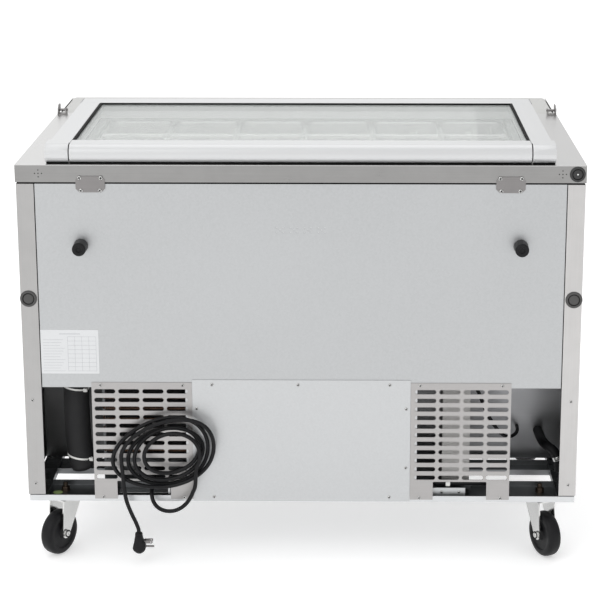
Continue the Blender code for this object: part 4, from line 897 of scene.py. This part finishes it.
def casters():
    turns = {"rear_left": -31.0, "rear_right": 25.0, "front_left": -18.0, "front_right": 38.0}
    axle_cap = [(0.0, 0.0026), (0.0022, 0.0026), (0.0026, 0.003), (0.0044, 0.003), (0.0056, 0.0022),
                (0.0062, 0.0008), (0.0062, 0.0), (0.0, 0.0)]
    # Painted shade: a near-black ring round each axle cap stands for the shade in its recess.
    axle_recess_shade = band(0.0062, 0.0086, 0.0, 0.0011)
    axle_reach = 0.025
    for name, turn in turns.items():
        low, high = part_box(f"caster_wheel_{name}")
        swing = Matrix.Translation((low + high) / 2.0) @ Matrix.Rotation(math.radians(turn), 4, "Z")
        tyre = moved(turned(wheel_profile(), 72), swing @ Matrix.Rotation(math.radians(90.0), 4, "Y"))
        piece(f"wheel_{name}_tyre", tyre, TYRE, f"wheel_{name}", [f"caster_wheel_{name}"],
              smooth=40.0)
        ends = [swing @ towards((side, 0.0, 0.0), (side * axle_reach, 0.0, 0.0)) for side, _ in SIDES]
        caps = [moved(turned(axle_cap, 28), end) for end in ends]
        recess_shades = [moved(turned(axle_recess_shade, 28), end) for end in ends]
        piece(f"axle_cap_{name}", caps, BOLT, f"caster_{name}", smooth=50.0)
        piece(f"axle_recess_shade_{name}", recess_shades, RECESS_SHADE, f"caster_{name}")


# ---------------- counter, lid and pans
def lid_section(wall=0.0):
    """Section of the lid's rear rail: a flat bar with a half-round nose."""
    axis_y, axis_z, crease, steps = deep(0.02), 0.9305, 0.0022, 28
    radius = 0.0205 - wall
    rear, bottom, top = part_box("lid_rear_rail")[1].y - wall, LID_BOTTOM + wall, axis_z + radius
    points = []
    for step in range(steps + 1):
        angle = math.pi * (0.5 + step / steps)
        z = max(axis_z + radius * math.sin(angle), bottom - 0.002)
        points.append((axis_y + radius * math.cos(angle), z))
    points += [(axis_y + 0.008, bottom), (rear, bottom)]
    if wall:
        return [*points, (rear, top)]
    return [*points, (rear, top - crease), (rear - crease, top)]


def lid():
    low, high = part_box("lid_rear_rail")
    seam = 0.0005
    rail = prism(lid_section(), "X", low.x + seam, high.x - seam, [lid_section(0.0025)])
    piece("lid_nose_rail", rail, ANODISED, "lid", ["lid_rear_rail"], edge=0.0004)
    # Partly a real end seal, partly painted shade: a near-black spacer in the seam between rail and cap,
    # where the gap lies in shade.
    for side, name in SIDES:
        end = high.x if side > 0.0 else low.x
        seal = prism(lid_section(0.0006), "X", *sorted((end - side * seam, end - side * HAIR)),
                     [lid_section(0.0022)])
        piece(f"nose_rail_shadow_seal_{name}", seal, GASKET, "lid")
    low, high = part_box("lid_glass")
    seal = 0.006
    outline = [(low.x, low.y), (low.x + seal, low.y), (low.x + seal, high.y - seal),
               (high.x - seal, high.y - seal), (high.x - seal, low.y), (high.x, low.y), (high.x, high.y),
               (low.x, high.y)]
    piece("glass_seal", prism(outline, "Z", high.z + HAIR, 0.9504), GASKET, "lid",
          edge=0.0003)
    low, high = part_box("lid_front_rail")
    section = rounded(low.y + 0.001, high.y - 0.0004, low.z + 0.0004, high.z - 0.0004, 0.003)
    for side, name in SIDES:
        end = (low.x if side < 0.0 else high.x) + side * HAIR
        shape = prism(section, "X", *sorted((end, end + side * 0.0022)))
        piece(f"lid_front_cap_{name}", shape, CAP, "lid", edge=0.0008)
    lid_gasket(high.y)


def lid_gasket(front):
    """Seal on the counter, wider under the nose than under the side bars."""
    half = -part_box("lid_side_left")[0].x
    wide, narrow, rear, shoulder = half - 0.0015, half - 0.0095, deep(0.0102), deep(0.058)
    outer = [(-wide, rear), (wide, rear), (wide, shoulder), (narrow, shoulder), (narrow, front - 0.006),
             (-narrow, front - 0.006), (-narrow, shoulder), (-wide, shoulder)]
    inner = rounded(0.052 - half, half - 0.052, deep(0.0315), front - 0.045, 0.006)
    gasket = prism(outer, "Z", COUNTER_TOP + 0.0002, LID_BOTTOM - 0.0002, [inner])
    piece("lid_gasket", gasket, GASKET, "lid", edge=0.0008)


def pan(x, y, top, half_y):
    """Drawn pan, one sheet thick: a rolled rim, straight sides and a floor with round corners."""
    half_x, floor_z = PAN_PITCH / 2.0 - 0.0006, top - 0.0975
    levels = (
        # half width in X, half width in Y, height, corner radius
        (half_x, half_y, top - 0.0016, 0.006), (half_x, half_y, top - 0.0004, 0.006),
        (half_x - 0.0006, half_y - 0.0006, top, 0.006), (0.0735, 0.0815, top, 0.018),
        (0.0722, 0.08, top - 0.0012, 0.018), (0.0716, 0.0793, top - 0.006, 0.018),
        (0.07, 0.0776, top - 0.0065, 0.0165), (0.066, 0.0738, top - 0.072, 0.0155),
        (0.064, 0.0718, floor_z + 0.006, 0.015), (0.0615, 0.0693, floor_z + 0.0015, 0.014),
        (0.057, 0.0648, floor_z, 0.012),
    )
    bm = lofted([[(u, v, z) for u, v in rounded(x - hx, x + hx, y - hy, y + hy, radius)]
                 for hx, hy, z, radius in levels])
    bmesh.ops.recalc_face_normals(bm, faces=bm.faces[:])
    if max(bm.faces, key=lambda face: face.calc_area()).normal.z < 0.0:
        bmesh.ops.reverse_faces(bm, faces=bm.faces[:])
    return bm


def pans():
    for name in ("rear", "middle", "front"):
        node = f"pans_row_{name}"
        low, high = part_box(node)
        y, half_y = (low.y + high.y) / 2.0, (high.y - low.y) / 2.0 - 0.0002
        row = [pan((column - 2.5) * PAN_PITCH, y, high.z, half_y) for column in range(6)]
        row = piece(f"pan_set_{name}", row, STEEL_PAN, stands_for=[node], smooth=35.0)
        sheet = row.modifiers.new("sheet", "SOLIDIFY")
        sheet.thickness = 0.0008
        sheet.offset = -1.0


def board_brackets():
    """Small folded catch with a pin at each end of the joint between counter and board."""
    foot_z, wall_top = COUNTER_TOP + 0.0002, 0.93
    rear, front, outer = deep(0.5985), deep(0.6225), deep(0.6385)
    pin = (deep(0.617), 0.917)
    wall = [(rear, foot_z), (front, foot_z), (outer, 0.915), (outer, 0.9265), (deep(0.634), wall_top),
            (deep(0.612), wall_top), (rear, 0.915)]
    cheek = [(rear, foot_z), (front, foot_z), (front, 0.9215), (deep(0.606), 0.9215)]
    for side, name in SIDES:
        inner_x, outer_x = sorted((side * 0.59, side * 0.6105))
        catch = [box(inner_x, outer_x, rear, front, foot_z, foot_z + 0.0014),
                 prism(wall, "X", *sorted((side * 0.6085, side * 0.6105))),
                 prism(cheek, "X", *sorted((side * 0.59, side * 0.592))),
                 rod(0.003, (side * 0.588, *pin), (side * 0.6112, *pin))]
        piece(f"board_bracket_{name}", catch, STEEL_PLATE, edge=0.0003)
        knob = rod(0.0056, (side * 0.6107, *pin), (side * 0.6122, *pin), 24)
        piece(f"board_bracket_knob_{name}", knob, BLACK, edge=0.0004)


def joint_shadow_strips():
    """Near-black strips in the joints under the counter's skirt and beside the rear posts, painting the
    shadow in the narrow gaps.
    """
    strips = [box(-0.609, 0.609, deep(0.0013), deep(0.003), PANEL_HIGH.z + HAIR, COUNTER_LOW.z + 0.0012)]
    for side, _ in SIDES:
        x_low, x_high = sorted((side * 0.5714, side * 0.5729))
        strips.append(box(x_low, x_high, deep(0.0006), deep(0.0014), PANEL_LOW.z, PANEL_HIGH.z))
    piece("joint_shadow_strips", strips, GASKET)


# ---------------- cabinet
def shelves():
    """Coated wire shelves: a rim, cross wires and close-set support wires."""
    thick, thin, count = 0.003, 0.0016, 27
    arc = [math.pi * step / 8.0 for step in range(9)]
    ball = [(thick * math.sin(angle), thick * math.cos(angle)) for angle in arc]
    for _, name in SIDES:
        node = f"shelf_{name}"
        low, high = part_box(node)
        left, right, back, front = low.x + thick, high.x - thick, low.y + thick, high.y - thick
        rim_z, wire_z = (low.z + high.z) / 2.0 - HAIR, high.z - thin
        wires = []
        rim = rectangle(left, right, back, front)
        for start, end in zip(rim, rim[1:] + rim[:1]):
            wires.append(rod(thick, (*start, rim_z), (*end, rim_z), 14))
            wires.append(moved(turned(ball, 14), Matrix.Translation((*start, rim_z))))
        for share in (0.33, 0.67):
            y = low.y + (high.y - low.y) * share
            wires.append(rod(1.4 * thin, (left, y, rim_z - 0.0006), (right, y, rim_z - 0.0006), 12))
        for index in range(1, count):
            x = low.x + (high.x - low.x) * index / count
            wires.append(rod(thin, (x, back, wire_z), (x, front, wire_z), 10))
        piece(f"wire_shelf_{name}", wires, WIRE_COAT, stands_for=[node],
              smooth=50.0)


def doors():
    """Plain door skins with a seal and a liner on the inner side."""
    inset, width, proud = 0.014, 0.012, 0.005
    for _, name in SIDES:
        low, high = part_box(f"door_{name}")
        outer, inner, liner = (
            rounded(low.x + edge, high.x - edge, low.z + edge, high.z - edge - 0.004, radius)
            for edge, radius in ((inset, 0.006), (inset + width, 0.003), (0.034, 0.012)))
        seal = prism(outer, "Y", low.y - proud, low.y - HAIR, [inner])
        piece(f"door_seal_{name}", seal, GASKET, f"{name}_door", edge=0.0015)
        liner = prism(liner, "Y", low.y - 0.003, low.y - HAIR)
        piece(f"door_liner_{name}", liner, TUB_SKIN, body=f"{name}_door", edge=0.002)


def finishes():
    """Materials and rounded edges of the CAD nodes that show as they are."""
    for material, edge, nodes in (
        (RAIL, 0.0004, "base_frame"),
        (STEEL_LEFT_SHADED, 0.0006, "side_panel_left"),
        (STEEL_RIGHT_LIT, 0.0006, "side_panel_right"),
        (ZINCED, 0.0, "rear_panel"),
        (ZINCED_COVER, 0.0004, "service_panel"),
        (ZINCED_SHADED, 0.0004, "compressor_tray"),
        (ZINCED_SHADED, 0.0003, "fan_housing"),
        (STEEL_PLATE, 0.0003, "fixing_plate_left fixing_plate_right"),
        (STEEL_DOOR, 0.0006, "face_frame"),
        (STEEL_DOOR, 0.0008, "board_shelf"),
        (STEEL_DOOR, 0.0012, "door_left door_right"),
        (STEEL_TOP, 0.0010, "countertop"),
        (STEEL_PAN, 0.0004, "pan_divider_front pan_divider_rear"),
        (WHITE_BOARD, 0.0020, "cutting_board"),
        (ANODISED, 0.0012, "lid_side_left lid_side_right"),
        (ANODISED, 0.0022, "lid_front_rail"),
        (GLASS, 0.0, "lid_glass"),
        (TUB_SKIN, 0.0008, "insulated_tub"),
        (WHITE_SHEET, 0.0008, "evaporator_cover"),
        (BLACK, 0.0005, "evaporator_fan condenser_fan"),
        (BLACK, 0.0010, "thermostat_knob terminal_box"),
        (GREY_BOX, 0.0015, "junction_box"),
        (ZINC, 0.0008, "caster_fork_rear_left caster_fork_rear_right"),
        (ZINC, 0.0008, "caster_fork_front_left caster_fork_front_right"),
        (RED, 0.0008, "brake_pedal_left brake_pedal_right"),
    ):
        for node in nodes.split():
            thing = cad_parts[node]
            thing.data.materials.clear()
            thing.data.materials.append(material)
            if edge:
                soften(thing, edge)


# ---------------- studio
def studio():
    """Pale floor, white surroundings and large soft lights."""
    scene = bpy.context.scene
    scene.view_settings.view_transform = "Standard"
    world = bpy.data.worlds.new("studio")
    world.use_nodes = True
    tree = world.node_tree
    background = tree.nodes["Background"]
    background.inputs["Strength"].default_value = 1.0
    place = add_node(tree, "SeparateXYZ", add_node(tree, "TexCoord").outputs["Generated"])
    fall = add_node(tree, "MapRange", place.outputs["X"], 0.1, 0.75, 1.0, 0.55)
    fall.interpolation_type = "SMOOTHSTEP"
    tree.links.new(fall.outputs["Result"], background.inputs["Color"])
    scene.world = world
    floor = bmesh.new()
    bmesh.ops.create_grid(floor, x_segments=8, y_segments=8, size=30.0)
    mesh = bpy.data.meshes.new("floor")
    floor.to_mesh(mesh)
    floor.free()
    mesh.materials.append(FLOOR)
    ground = bpy.data.objects.new("floor", mesh)
    scene.collection.objects.link(ground)
    lights = (
        ("key", (-2.2, -3.4, 3.2), (2.6, 2.6), 26.0),
        ("fill", (2.8, -3.0, 2.2), (2.4, 2.4), 8.0),
        ("top", (0.0, 0.4, 3.6), (3.4, 2.6), 20.0),
        ("front", (-0.6, 4.0, 2.6), (2.8, 2.0), 6.0),
    )
    for name, place, size, power in lights:
        data = bpy.data.lights.new(name, "AREA")
        data.shape = "RECTANGLE"
        data.size, data.size_y = size
        data.energy = power
        lamp = bpy.data.objects.new(name, data)
        lamp.location = place
        aim = Vector((0.0, 0.0, 0.5)) - Vector(place)
        lamp.rotation_euler = aim.to_track_quat("-Z", "Y").to_euler()
        scene.collection.objects.link(lamp)


camera()
cord()
rear_fasteners()
plugs_and_marks()
label()
rear_grilles()
kick_plate()
bumpers()
bay()
casters()
board_brackets()
joint_shadow_strips()
lid()
pans()
shelves()
doors()
fin_pack("evaporator_fins", "evaporator_coil", 0.0045)
finishes()
studio()
